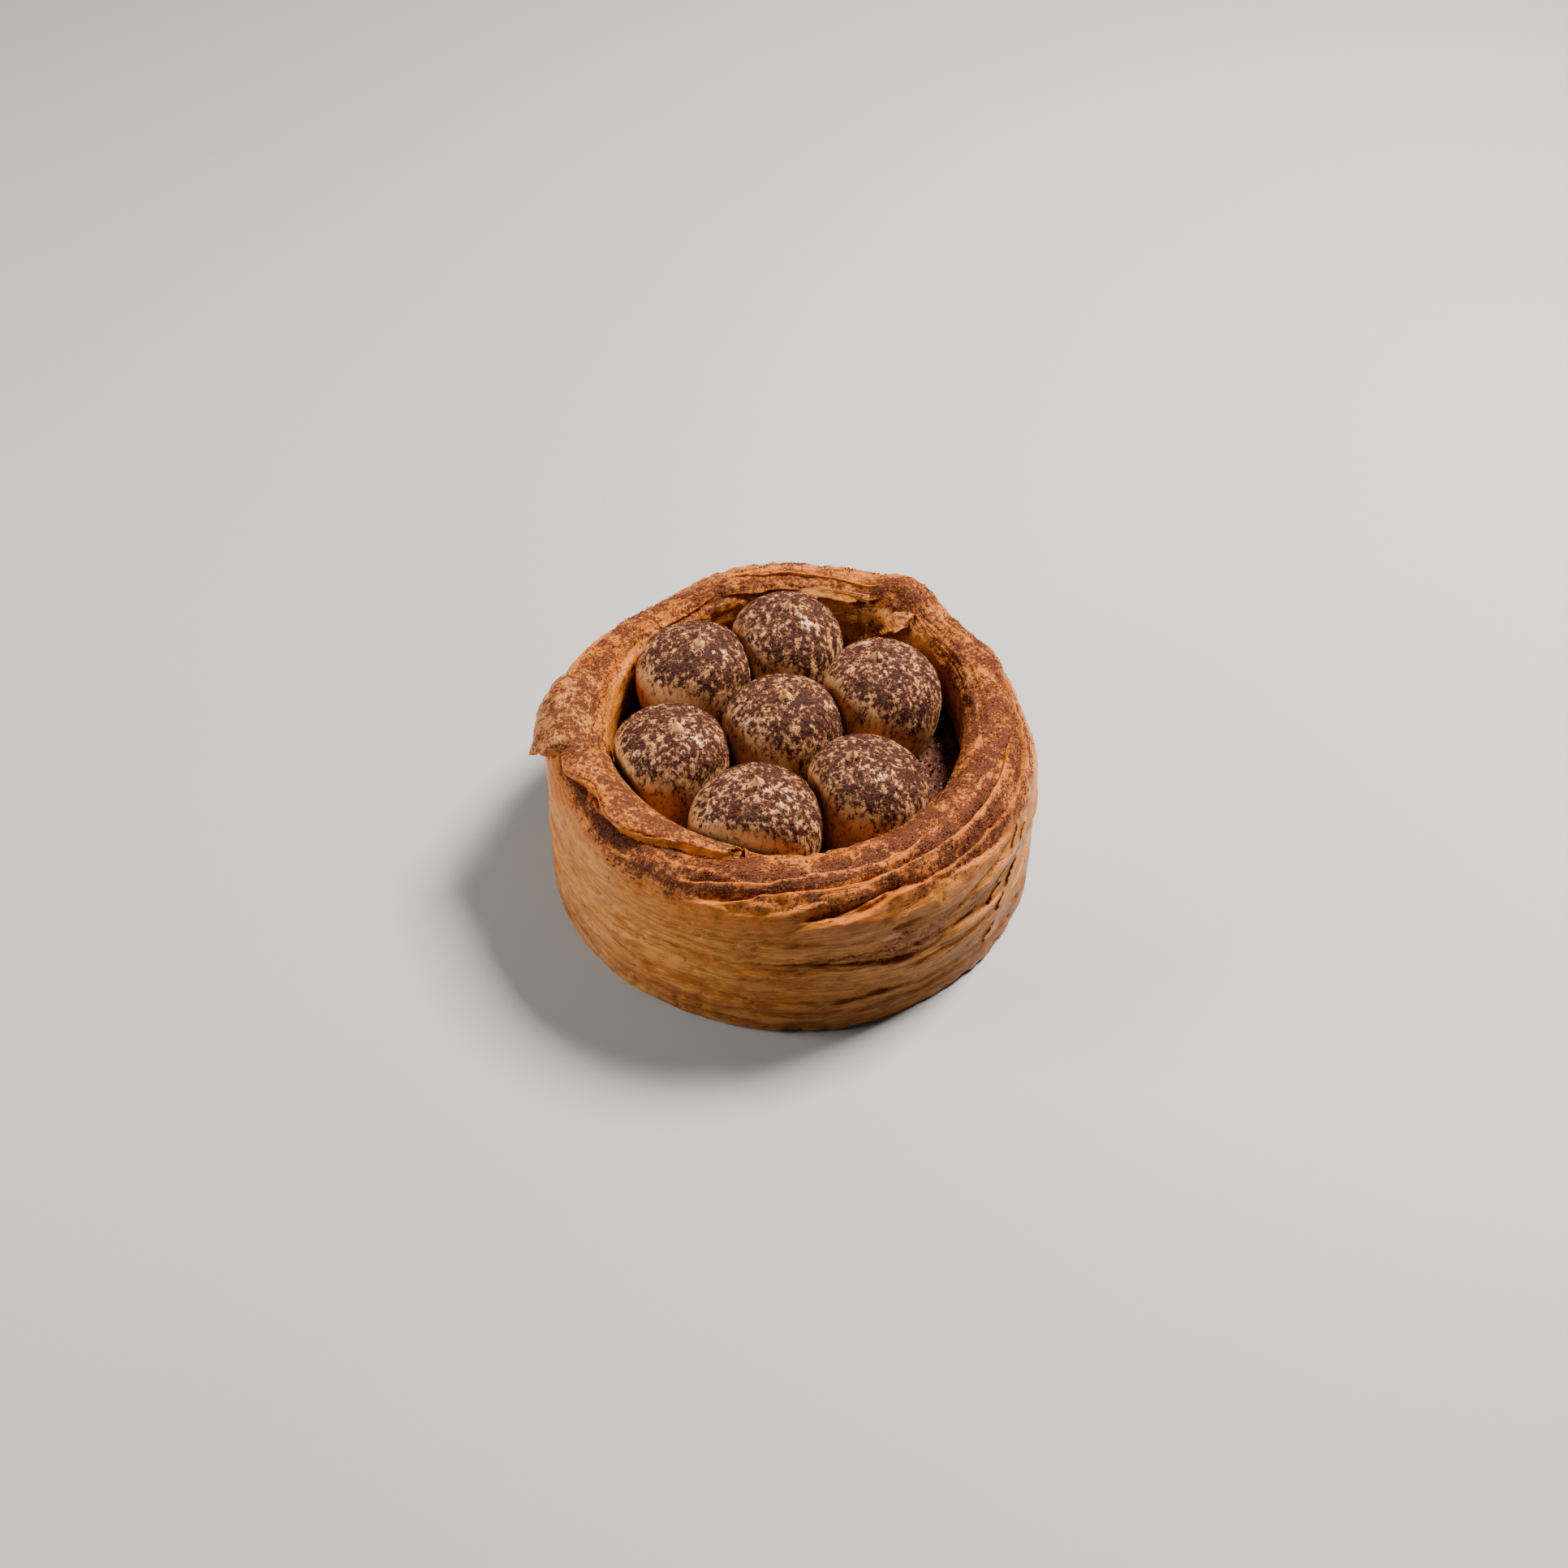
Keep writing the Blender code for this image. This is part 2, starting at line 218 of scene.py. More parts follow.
@dataclass
class Shape:
    """Points, faces and the values that a finish reads from the points."""

    points: Array
    faces: list[Array]
    values: dict[str, Array]

    @classmethod
    def turned(cls, rings: Array, values: dict[str, Array]) -> Shape:
        """A closed form through rings, with a pole in the middle of the first and the last.

        Args:
            rings: positions, shape (rings, columns, 3), from the underside to the top.
            values: arrays over the rings by name. A pole takes its ring's mean.

        Returns:
            The closed shape.
        """
        rows, columns = rings.shape[:2]
        count = rows * columns
        ends = np.stack((rings[0].mean(axis=0), rings[-1].mean(axis=0)))
        ring = np.arange(columns)
        faces = [
            grid_faces(rows, columns, closed=True),
            fan_faces(ring, count, over=False),
            fan_faces(ring + count - columns, count + 1, over=True),
        ]
        kept = {}
        for name, value in values.items():
            flat = value.reshape(count, -1)
            poles = np.stack((value[0].mean(axis=0), value[-1].mean(axis=0))).reshape(2, -1)
            kept[name] = np.concatenate((flat, poles)).squeeze()
        return cls(np.concatenate((rings.reshape(-1, 3), ends)), faces, kept)

    @classmethod
    def sheet(cls, top: Array, under: Array, values: dict[str, Array]) -> Shape:
        """A closed thin sheet from its upper and lower grids of points.

        The lower grid is the upper one pushed in, and a strip of faces closes the border.

        Args:
            top: upper positions, shape (rows, columns, 3), in the order of normals_of.
            under: lower positions of the same shape.
            values: arrays over both grids by name, shape (2, rows, columns) or with 3 more.

        Returns:
            The closed shape.
        """
        rows, columns = top.shape[:2]
        count = rows * columns
        index = np.arange(count).reshape(rows, columns)
        border = np.concatenate((index[0, :-1], index[:-1, -1], index[-1, :0:-1], index[:0:-1, 0]))
        after = np.roll(border, -1)
        rim = np.stack((after, border, border + count, after + count), axis=-1)
        faces = [grid_faces(rows, columns, False), grid_faces(rows, columns, False, count)[:, ::-1], rim]
        points = np.concatenate((top.reshape(-1, 3), under.reshape(-1, 3)))
        kept = {name: value.reshape(2 * count, -1).squeeze() for name, value in values.items()}
        return cls(points, faces, kept)

    def put(self, name: str, finish: Finish, slot: str, *replaced: str) -> None:
        """Makes the mesh and its object, riding on the tart.

        Args:
            name: the piece's name.
            finish: its material.
            slot: the record's slot that the finish stands for. Not used.
            replaced: solids that the piece stands for.
        """
        mesh = bpy.data.meshes.new(name)
        corners = np.concatenate([group.ravel() for group in self.faces])
        sizes = np.concatenate([np.full(len(group), group.shape[1]) for group in self.faces])
        mesh.vertices.add(len(self.points))
        mesh.vertices.foreach_set("co", (self.points * MM).astype(np.float32).ravel())
        mesh.loops.add(len(corners))
        mesh.loops.foreach_set("vertex_index", corners.astype(np.int32))
        mesh.polygons.add(len(sizes))
        mesh.polygons.foreach_set("loop_start", (np.cumsum(sizes) - sizes).astype(np.int32))
        mesh.update(calc_edges=True)
        mesh.shade_smooth()
        for key, value in self.values.items():
            kind, field = ("FLOAT", "value") if value.ndim == 1 else ("FLOAT_VECTOR", "vector")
            layer = mesh.attributes.new(key, kind, "POINT")
            layer.data.foreach_set(field, value.astype(np.float32).ravel())
        mesh.materials.append(finish)
        piece = bpy.data.objects.new(name, mesh)
        bpy.context.scene.collection.objects.link(piece)
        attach(piece, BODY)
        if replaced:
            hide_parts(*replaced)
        LOG.info("%s: %d triangles", name, (sizes - 2).sum())


# ---------------------------------------------------------------- finishes


class Bench:
    """A material's nodes, and short ways to add to them."""

    def __init__(self, name: str) -> None:
        """Starts a material that has its own shader.

        Args:
            name: the material's name.
        """
        self.material = bpy.data.materials.new(name)
        self.material.use_nodes = True
        self.tree = self.material.node_tree
        self.shader = self.tree.nodes["Principled BSDF"]

    def feed(self, socket: Socket, value: object) -> None:
        """Links an output to this input, or sets a plain value on it.

        Args:
            socket: the input.
            value: another node's output, a number, a vector or a colour.
        """
        if isinstance(value, Socket):
            self.tree.links.new(value, socket)
        else:
            socket.default_value = value

    def node(self, kind: str, inputs: dict[str | int, object], **settings: str) -> bpy.types.Node:
        """Adds a node.

        Args:
            kind: the node's type, without Blender's prefix.
            inputs: what to feed, by the input's name or number.
            settings: properties to set first.

        Returns:
            The new node.
        """
        node = self.tree.nodes.new(f"ShaderNode{kind}")
        for name, setting in settings.items():
            setattr(node, name, setting)
        for name, value in inputs.items():
            self.feed(node.inputs[name], value)
        return node

    def place(self) -> Socket:
        """The point's own coordinates in the tart."""
        return self.node("TexCoord", {}).outputs["Object"]

    def carried(self, name: str, output: str = "Fac") -> Socket:
        """What the mesh carries on its points: a number, or a vector by the output Vector."""
        return self.node("Attribute", {}, attribute_name=name).outputs[output]

    def stretch(self, vector: Socket, scale: tuple[float, float, float]) -> Socket:
        """The vector with each axis scaled."""
        return self.node("VectorMath", {0: vector, 1: scale}, operation="MULTIPLY").outputs["Vector"]

    def noise(self, vector: Socket, scale: float, detail: float, rough: float) -> Socket:
        """Noise between 0 and 1 with that many cells to the metre."""
        inputs = {"Vector": vector, "Scale": scale, "Detail": detail, "Roughness": rough}
        return self.node("TexNoise", inputs).outputs["Fac"]

    def sum(self, first: object, second: object, times: float = 1.0) -> Socket:
        """First plus second times a factor."""
        return self.node("Math", {0: second, 1: times, 2: first}, operation="MULTIPLY_ADD").outputs[0]

    def larger(self, first: object, second: object) -> Socket:
        """The larger of the two."""
        return self.node("Math", {0: first, 1: second}, operation="MAXIMUM").outputs[0]

    def product(self, first: object, second: object) -> Socket:
        """First times second."""
        return self.node("Math", {0: first, 1: second}, operation="MULTIPLY").outputs[0]

    def window(self, value: object, low: float, high: float, start: float = 0.0, end: float = 1.0) -> Socket:
        """An eased step from start to end as the value goes from low to high."""
        inputs = {"Value": value, "From Min": low, "From Max": high, "To Min": start, "To Max": end}
        return self.node("MapRange", inputs, interpolation_type="SMOOTHSTEP").outputs["Result"]

    def blend(self, share: object, first: object, second: object) -> Socket:
        """The first colour where share is 0 and the second where it is 1."""
        pair = ((*colour, 1.0) if isinstance(colour, tuple) else colour for colour in (first, second))
        return self.node("Mix", dict(zip((0, 6, 7), (share, *pair))), data_type="RGBA").outputs[2]

    def dress(self, inputs: dict[str, object], *heights: tuple[Socket, float]) -> Finish:
        """Feeds the shader and raises the surface by each height in turn.

        Args:
            inputs: what to feed, by the name of the shader's input.
            heights: heights between 0 and 1, and the size of each in mm.

        Returns:
            The finished material.
        """
        normal: dict[str, object] = {}
        for height, size in heights:
            bump = self.node("Bump", {"Distance": size * MM, "Height": height, **normal})
            normal = {"Normal": bump.outputs["Normal"]}
        for name, value in {**inputs, **normal}.items():
            self.feed(self.shader.inputs[name], value)
        return self.material


@dataclass(frozen=True)
class CocoaPowder:
    """Sieved cocoa: a soft stain, flecks where the carried dust is thick, and single dots."""

    colour: Colour = (0.058, 0.0105, 0.0035)
    dark: Colour = (0.012, 0.0024, 0.0012)
    stain: Colour = (0.180, 0.050, 0.015)
    stain_strength: float = 0.8
    fleck: float = 1500.0
    grain: float = 2.3  # times as fine as a fleck
    dot: float = 3900.0
    drawn: tuple[float, float, float] = (1.0, 1.0, 1.0)

    def lay(self, bench: Bench, ground: Socket) -> tuple[Socket, Socket]:
        """Lays cocoa over a ground colour.

        The carried dust plus coarse and fine noise gives a level. A low threshold with a wide cut
        is the stain, a higher one with a narrower cut the flecks. Dots are peaks of finer noise.

        Args:
            bench: the material to add to.
            ground: colour of what it lies on.

        Returns:
            The dusted colour, and 0 for bare to 1 for covered.
        """
        place = bench.stretch(bench.place(), self.drawn)
        dust = bench.carried("dust")
        flecks = bench.noise(place, self.fleck, 4.0, 0.6)
        grains = bench.noise(place, self.grain * self.fleck, 2.0, 0.6)
        level = bench.sum(bench.sum(dust, bench.sum(-0.5, flecks), 1.9), bench.sum(-0.5, grains), 0.8)
        dots = bench.sum(bench.noise(bench.place(), self.dot, 1.0, 0.5), dust, 0.30)
        cover = bench.larger(bench.window(level, 0.44, 0.70), bench.window(dots, 0.74, 0.83, 0.0, 0.8))
        stain = bench.window(level, 0.12, 0.60, 0.0, self.stain_strength)
        powder = bench.blend(bench.window(grains, 0.35, 0.68), self.dark, self.colour)
        return bench.blend(cover, bench.blend(stain, ground, self.stain), powder), cover


class Pattern(NamedTuple):
    """Noise along the layers: cells to the metre, how much finer across, detail and roughness."""

    cells: float
    across: float
    detail: float
    rough: float


@dataclass(frozen=True)
class BakedDough:
    """Laminated dough: pale to golden streaks that follow the layers, browned and dusted, with painted glow,
    painted shade and painted highlights.
    """

    # Pale straw, for flakes and thin layer lines, and also for painted highlights on the flake patches.
    pale_flake_and_highlight: Colour = (0.620, 0.360, 0.110)
    pale: Colour = (0.530, 0.226, 0.044)
    golden: Colour = (0.335, 0.092, 0.013)
    brown: Colour = (0.105, 0.022, 0.003)
    # The amber colour is the thin rim's deeper orange and also painted glow, standing for light shining
    # through thin dough.
    amber_and_painted_glow: Colour = (0.430, 0.108, 0.004)
    streaks: Pattern = Pattern(60.0, 14.0, 6.0, 0.65)
    threads: Pattern = Pattern(190.0, 16.0, 6.0, 0.7)
    mottle: Pattern = Pattern(300.0, 2.0, 4.0, 0.65)
    flakes: Pattern = Pattern(700.0, 4.0, 5.0, 0.7)
    contour: Pattern = Pattern(50.0, 10.0, 2.0, 0.45)
    roughness: float = 0.31
    powder: CocoaPowder = CocoaPowder(
        colour=(0.125, 0.026, 0.006), dark=(0.046, 0.010, 0.002), stain=(0.260, 0.068, 0.012),
        stain_strength=0.68,
    )

    def material(self) -> Finish:
        """Builds the material.

        A crack is a thin line where the contour noise crosses its middle value.

        Returns:
            The dough's material, which reads flow, bake_and_painted_light, amber_and_painted_glow and dust
            from the mesh.
        """
        bench = Bench("baked_dough")
        flow = bench.carried("flow", "Vector")
        streaks, threads, mottle, flakes, contour = (
            bench.noise(bench.stretch(flow, (1.0, 1.0, kind.across)), kind.cells, kind.detail, kind.rough)
            for kind in (self.streaks, self.threads, self.mottle, self.flakes, self.contour)
        )
        cracks = bench.product(bench.window(contour, 0.486, 0.498), bench.window(contour, 0.514, 0.502))
        tone = bench.sum(bench.sum(0.0, streaks, 0.5), mottle, 0.5)
        # Browning, which also carries painted shade towards the foot and in the grooves, and painted light
        # inside.
        browning_and_painted_light = bench.sum(bench.carried("bake_and_painted_light"), bench.sum(-0.5, threads), 1.0)
        # Painted glow: the carried amber share, partly the rim's own orange and partly light through thin
        # dough painted into the colour.
        glow = bench.product(bench.carried("amber_and_painted_glow"), bench.window(mottle, 0.25, 0.7, 0.65, 1.0))
        colour = bench.blend(bench.window(tone, 0.40, 0.58), self.golden, self.pale)
        for share, over in (
            # Pale flake patches: partly paler flakes of dough and partly painted highlights standing in for
            # gloss.
            (bench.window(flakes, 0.58, 0.68, 0.0, 0.55), self.pale_flake_and_highlight),
            (bench.window(threads, 0.34, 0.42, 0.22, 0.0), self.pale_flake_and_highlight),
            (bench.window(threads, 0.58, 0.64, 0.0, 0.4), self.brown),
            (bench.product(cracks, bench.window(mottle, 0.42, 0.62, 0.0, 0.55)), self.brown),
            (bench.window(browning_and_painted_light, 0.15, 1.0, 0.0, 0.92), self.brown),
            (glow, self.amber_and_painted_glow),
        ):
            colour = bench.blend(share, colour, over)
        colour, cocoa = self.powder.lay(bench, colour)
        shine = bench.window(threads, 0.3, 0.7, self.roughness - 0.1, self.roughness + 0.12)
        grain = bench.product(cocoa, bench.noise(bench.place(), 2400.0, 2.0, 0.6))
        inputs = {
            "Base Color": colour,
            "Roughness": bench.sum(shine, cocoa, 0.3),
            "Specular IOR Level": 0.17,
            "Subsurface Weight": 0.12,
            "Subsurface Radius": (1.0, 0.42, 0.16),
            "Subsurface Scale": 1.6 * MM,
        }
        along = ((streaks, 0.35), (threads, 0.18), (mottle, 0.14), (flakes, 0.17), (cracks, -0.10))
        return bench.dress(inputs, *along, (grain, 0.25))


@dataclass(frozen=True)
class CoffeeCream:
    """Piped cream, satin and slightly see-through, with moist cocoa lying on it."""

    colour: Colour = (0.550, 0.285, 0.115)
    warm: Colour = (0.500, 0.248, 0.096)
    roughness: float = 0.36
    powder: CocoaPowder = CocoaPowder(drawn=(1.0, 1.0, 0.45), fleck=1250.0)

    def material(self) -> Finish:
        """Builds the material.

        Returns:
            The cream's material, which reads dust from the mesh.
        """
        bench = Bench("coffee_cream")
        place = bench.place()
        soft = bench.noise(place, 260.0, 3.0, 0.5)
        colour = bench.blend(bench.window(soft, 0.3, 0.7), self.warm, self.colour)
        colour, cocoa = self.powder.lay(bench, colour)
        grain = bench.product(cocoa, bench.noise(place, 1800.0, 2.0, 0.5))
        inputs = {
            "Base Color": colour,
            "Roughness": bench.sum(self.roughness, cocoa, 0.45),
            "Specular IOR Level": 0.2,
            "Subsurface Weight": 0.12,
            "Subsurface Radius": (1.0, 0.55, 0.3),
            "Subsurface Scale": 1.8 * MM,
        }
        return bench.dress(inputs, (grain, 0.35), (soft, 0.12))


@dataclass(frozen=True)
class DampCocoa:
    """The filling's top: clumped dark cocoa with paler dry specks."""

    dark: Colour = (0.030, 0.009, 0.006)
    clump: Colour = (0.150, 0.047, 0.022)
    speck: Colour = (0.600, 0.350, 0.245)

    def material(self) -> Finish:
        """Builds the material.

        Returns:
            The filling's material.
        """
        bench = Bench("damp_cocoa")
        place = bench.place()
        clumps = bench.noise(place, 900.0, 4.0, 0.65)
        specks = bench.noise(place, 1300.0, 4.0, 0.7)
        colour = bench.blend(bench.window(clumps, 0.35, 0.65), self.dark, self.clump)
        colour = bench.blend(bench.window(specks, 0.61, 0.69), colour, self.speck)
        inputs = {"Base Color": colour, "Roughness": 0.72, "Specular IOR Level": 0.2}
        return bench.dress(inputs, (clumps, 0.5), (specks, 0.2))


@dataclass(frozen=True)
class LooseGrain:
    """Single grains of cocoa, one tone to a patch of them."""

    name: str
    dark: Colour
    light: Colour

    def material(self) -> Finish:
        """Builds the material.

        Returns:
            The grains' material, whose tone drifts from place to place.
        """
        bench = Bench(self.name)
        drift = bench.noise(bench.place(), 1500.0, 2.0, 0.5)
        colour = bench.blend(bench.window(drift, 0.3, 0.7), self.dark, self.light)
        return bench.dress({"Base Color": colour, "Roughness": 0.85, "Specular IOR Level": 0.15})


# ---------------------------------------------------------------- the dough case


class Side(Enum):
    """Which side of its edge a layer of dough is on."""

    BELOW = 1.0
    ABOVE = -1.0


class Layer(NamedTuple):
    """A layer of dough that ends at a named edge between two azimuths."""

    edge: str
    start: float
    end: float
    lift: float
    groove: float
    reach: float
    overhang: float
    side: Side = Side.BELOW


class Bump(NamedTuple):
    """A rounded bulge or hollow, centred on an azimuth and a run, moved out and up."""

    azimuth: float
    run: float
    spread_azimuth: float
    spread_run: float
    outwards: float
    upwards: float
    power: float = 2.0  # higher gives it a flat top and steeper sides


class Sliver(NamedTuple):
    """The short end of a thin layer, on a slightly sloping line."""

    start: float
    length: float
    run: float
    slope: float
    lift: float
    groove: float
    side: Side = Side.BELOW


class Folds(NamedTuple):
    """What the layer edges do to the surface at each point, in mm."""

    moved: Array
    slid: Array
    hollow: Array
    crisp: Array


EDGES: dict[str, tuple[tuple[float, float], ...]] = {
    "seam": ((90, 17), (209, 20.3), (228, 18.7), (247, 20), (267, 18.2), (286, 16.9), (305, 14.8)),
    "third": ((60, 32), (150, 31), (200, 26), (255, 28), (273, 30.2), (301, 33.5), (330, 34.5), (388, 36)),
    "second": ((40, 39), (100, 36), (160, 34), (215, 31), (252, 32.8), (261, 35.6), (271, 37), (328, 38.4)),
    "roll": (
        (60, 42), (110, 40), (165, 38), (190, 34.2), (205, 34), (232, 34), (251, 36.6), (271, 39.9),
        (350, 41.8),
    ),
    "lip": (
        (55, 45), (100, 45.6), (140, 44), (172, 41.2), (190, 37.5), (198, 36.0), (203, 38.2), (208, 40.3),
        (213, 39.8), (219, 38.4), (224, 38.8), (229, 40), (237, 42), (245, 43), (253, 43.8), (262, 46.4),
        (300, 47), (390, 46),
    ),
}
LEVELS = {
    "foot": 0.0, "seam": 18.0, "third": 30.0, "second": 36.0,
    "roll": 39.0, "lip": 46.0, "inside": 50.0, "end": 62.0,
}

LAYERS = (
    Layer("roll", 238, 318, 0.4, 1.1, 2.0, 0.5),
    Layer("second", 246, 358, 0.45, 1.6, 3.0, 0.6),
    Layer("third", 264, 385, 0.3, 0.7, 3.0, 0.4),
    Layer("roll", 58, 112, 0.3, 0.6, 2.5, 0.4),
    Layer("seam", 256, 315, 0.2, 0.35, 4.0, 0.3),
    Layer("lip", 186, 262, 0.8, 1.7, 4.0, 0.4, Side.ABOVE),
    Layer("lip", 54, 114, 0.4, 1.3, 2.5, 0.6),
)

CREASES = (
    Sliver(265.0, 17.0, 32.0, 0.250, 0.3, 1.1),
    Sliver(268.0, 34.0, 30.0, 0.150, 0.3, 1.3),
    Sliver(277.0, 24.0, 29.6, 0.187, 0.2, 1.1),
    Sliver(268.0, 36.0, 19.6, -0.110, 0.2, 1.0),
    Sliver(301.0, 32.0, 32.6, -0.085, 0.3, 1.0),
    Sliver(308.0, 26.0, 21.7, 0.260, 0.3, 0.9),
    Sliver(284.0, 22.0, 25.5, 0.060, 0.2, 0.8),
    Sliver(243.0, 18.0, 32.6, 0.120, 0.2, 0.9),
)

BUMPS = (
    Bump(55.5, 39.0, 6.5, 7.0, 0.4, 2.7, 3.4),  # corner where the outer layer ends
    Bump(10, 34.0, 15.0, 9.0, -1.6, -1.4),  # low shoulder at the right
    Bump(41, 35.0, 6.0, 8.0, -0.6, -0.7),  # dip beside the corner
    Bump(34, 33.0, 8.0, 8.0, -0.4, -0.3),
    Bump(80, 37.0, 14.0, 9.0, -0.2, -0.6),  # back of the rim
    Bump(129, 35.0, 11.0, 10.0, -0.8, -2.7),  # low stretch at the back left
    Bump(150, 34.0, 8.0, 9.0, -0.3, -0.4),
    Bump(171, 39.0, 10.0, 5.0, 0.0, 1.6),  # crossing of two layers at the left
    Bump(305, 45.0, 26.0, 4.0, -0.3, 0.9),  # front lip leans inwards
    Bump(222, 40.0, 16.0, 5.0, 0.0, 0.4),
    Bump(332, 18.0, 10.0, 7.0, 0.3, 0.0),
    Bump(192, 27.0, 13.0, 7.0, -0.6, 0.0),  # hollow under the folded flap
    Bump(218, 9.0, 13.0, 8.0, 0.6, 0.0),
    Bump(72, 47.0, 8.0, 1.8, 1.2, 0.0),  # pocket above the torn inner layer
)


class Band(NamedTuple):
    """How many random slivers lie between two runs, their lengths in degrees, and how steep and deep."""

    count: int
    low: float
    high: float
    short: float
    long: float
    slope: float
    depth: float


BANDS = (
    Band(44, 3.0, 28.0, 30.0, 80.0, 0.020, 0.8),  # long and faint on the wall
    Band(70, 27.0, 46.0, 12.0, 44.0, 0.060, 0.65),  # short and deep on the rim
    Band(18, 44.0, 57.0, 16.0, 50.0, 0.040, 0.4),  # inside
)


@dataclass(frozen=True)
class CaseForm:
    """The form of the case, worked out from its driving sizes in mm, with azimuths in degrees."""

    wall_radius: float = 47.3
    shoulder_height: float = 26.0
    crest_radius: float = 40.3
    crest_height: float = 36.4
    lip_drop: float = 5.5
    opening: float = 33.7
    opening_shift: float = 1.9
    opening_shift_azimuth: float = 115.0
    filling_height: float = 21.0
    floor_thickness: float = 8.0
    foot_rounding: float = 0.9
    clearance: float = 0.3
    flow_radius: float = 42.0
    fray: float = 0.34
    fray_cells: float = 0.22
    step_width: float = 0.8
    groove_fade: float = 2.2
    lean_fade: float = 1.2
    layer_taper: float = 14.0  # degrees
    sliver_taper: float = 9.0  # degrees
    sliver_reach: float = 1.6
    sliver_room: float = 9.0
    wave: float = 0.12
    slope_probe: float = 0.4

    def opening_centre(self) -> Array:
        """Middle of the opening in the plane."""
        angle = math.radians(self.opening_shift_azimuth)
        return self.opening_shift * np.array((math.cos(angle), math.sin(angle)))

    def opening_radius(self, azimuth: Array) -> Array:
        """Distance from the case's axis to the edge of the off-centre opening.

        Args:
            azimuth: degrees.

        Returns:
            Distance in mm.
        """
        angle = np.radians(azimuth - self.opening_shift_azimuth)
        across = self.opening_shift * np.sin(angle)
        return self.opening_shift * np.cos(angle) + np.sqrt(self.opening**2 - across**2)

    def section(self, step: Array, inner: Array) -> tuple[Array, Array]:
        """The turned section, as a rounded foot, a wall, two quarter ellipses and an inside wall.

        Args:
            step: how far along, 0 to 5 through the five pieces.
            inner: radius of the opening.

        Returns:
            Radius and height.
        """
        foot, wall, shoulder, lip, inside = (np.clip(step - i, 0.0, 1.0) for i in range(5))
        radius = self.wall_radius - self.foot_rounding * (1.0 - np.sin(foot * QUARTER))
        radius = radius - (self.wall_radius - self.crest_radius) * (1.0 - np.cos(shoulder * QUARTER))
        radius = radius - (self.crest_radius - inner) * np.sin(lip * QUARTER)
        height = self.foot_rounding * (1.0 - np.cos(foot * QUARTER))
        height = height + (self.shoulder_height - self.foot_rounding) * wall
        height = height + (self.crest_height - self.shoulder_height) * np.sin(shoulder * QUARTER)
        height = height - self.lip_drop * (1.0 - np.cos(lip * QUARTER))
        depth = self.crest_height - self.lip_drop - self.filling_height - self.clearance
        return radius, height - depth * inside

    @cached_property
    def table(self) -> tuple[Array, Array]:
        """Steps through the section, and the run from the foot to each.

        Returns:
            Steps, 0 to 5, and runs in mm.
        """
        steps = np.linspace(0.0, 5.0, 1001)
        radius, height = self.section(steps, self.opening)
        lengths = np.hypot(np.diff(radius), np.diff(height))
        return steps, np.concatenate(([0.0], np.cumsum(lengths)))

    def run_at(self, step: float) -> float:
        """Run from the foot to a step of the section."""
        return float(np.interp(step, *self.table))

    def edge_run(self, name: str, azimuth: Array) -> Array:
        """Run of a layer edge: its polyline eased over 4 degrees either way, frayed by fine noise.

        Args:
            name: the edge.
            azimuth: degrees.

        Returns:
            Run in mm.
        """
        where, run = (np.array(axis, float) for axis in zip(*EDGES[name]))
        where = np.concatenate((where - TURN, where, where + TURN))
        fray = Noise(71 + len(name)).layered(self.ring_point(azimuth, self.fray_cells))
        return eased(azimuth % TURN, where, np.tile(run, 3), 4.0) + self.fray * fray

    def ring_point(self, azimuth: Array, cells: float, level: Array | float = 0.0) -> Array:
        """A point on a ring, for noise that closes.

        Args:
            azimuth: degrees.
            cells: noise cells to the mm along the ring.
            level: height of the point, in cells.

        Returns:
            Positions with x, y and z on the last axis.
        """
        angle = np.radians(azimuth)
        ring = self.flow_radius * cells
        height = np.broadcast_to(level, angle.shape)
        return np.stack((ring * np.cos(angle), ring * np.sin(angle), height), axis=-1)

    @cached_property
    def slivers(self) -> list[Sliver]:
        """The creases, and more at random in each band.

        Returns:
            All the slivers.
        """
        rng = np.random.default_rng(77)
        made = list(CREASES)
        for band in BANDS:
            for _ in range(band.count):
                start, length = rng.uniform(0.0, TURN), rng.uniform(band.short, band.long)
                steep = rng.normal(0.4, 1.0) * band.slope
                lift, groove = rng.uniform(0.12, 0.40) * band.depth, rng.uniform(0.3, 1.0) * band.depth
                side = Side.BELOW if rng.random() < 0.7 else Side.ABOVE
                run = rng.uniform(band.low, band.high)
                made.append(Sliver(start, length, run, steep, lift, groove, side))
        return made

    def fold(self, beyond: Array, fade: Array, size: tuple[float, float, float, float], side: Side) -> Folds:
        """What one edge does: see layers.

        Args:
            beyond: run past the edge, positive on the tucked side.
            fade: 0 at the edge's ends and 1 along it.
            size: lift, groove, reach and overhang in mm.
            side: the side that the proud layer is on.

        Returns:
            The movement and the marks of this edge.
        """
        lift, groove, reach, overhang = size
        before, after = np.minimum(beyond, 0.0), np.maximum(beyond, 0.0)
        step = smooth(beyond / self.step_width)
        tucked = fade * groove * np.exp(-after / self.groove_fade) * step
        moved = fade * lift * np.exp(before / reach) * (1.0 - step) - tucked
        lean = np.exp(before / self.lean_fade) * (1.0 - 1.5 * step)
        lean = lean * np.exp(-np.maximum(after - self.step_width, 0.0))
        crisp = fade * min(1.0, (lift + groove) / 1.2) * bell((beyond - 0.3) / 0.55)
        return Folds(moved, fade * overhang * side.value * lean, tucked, crisp)

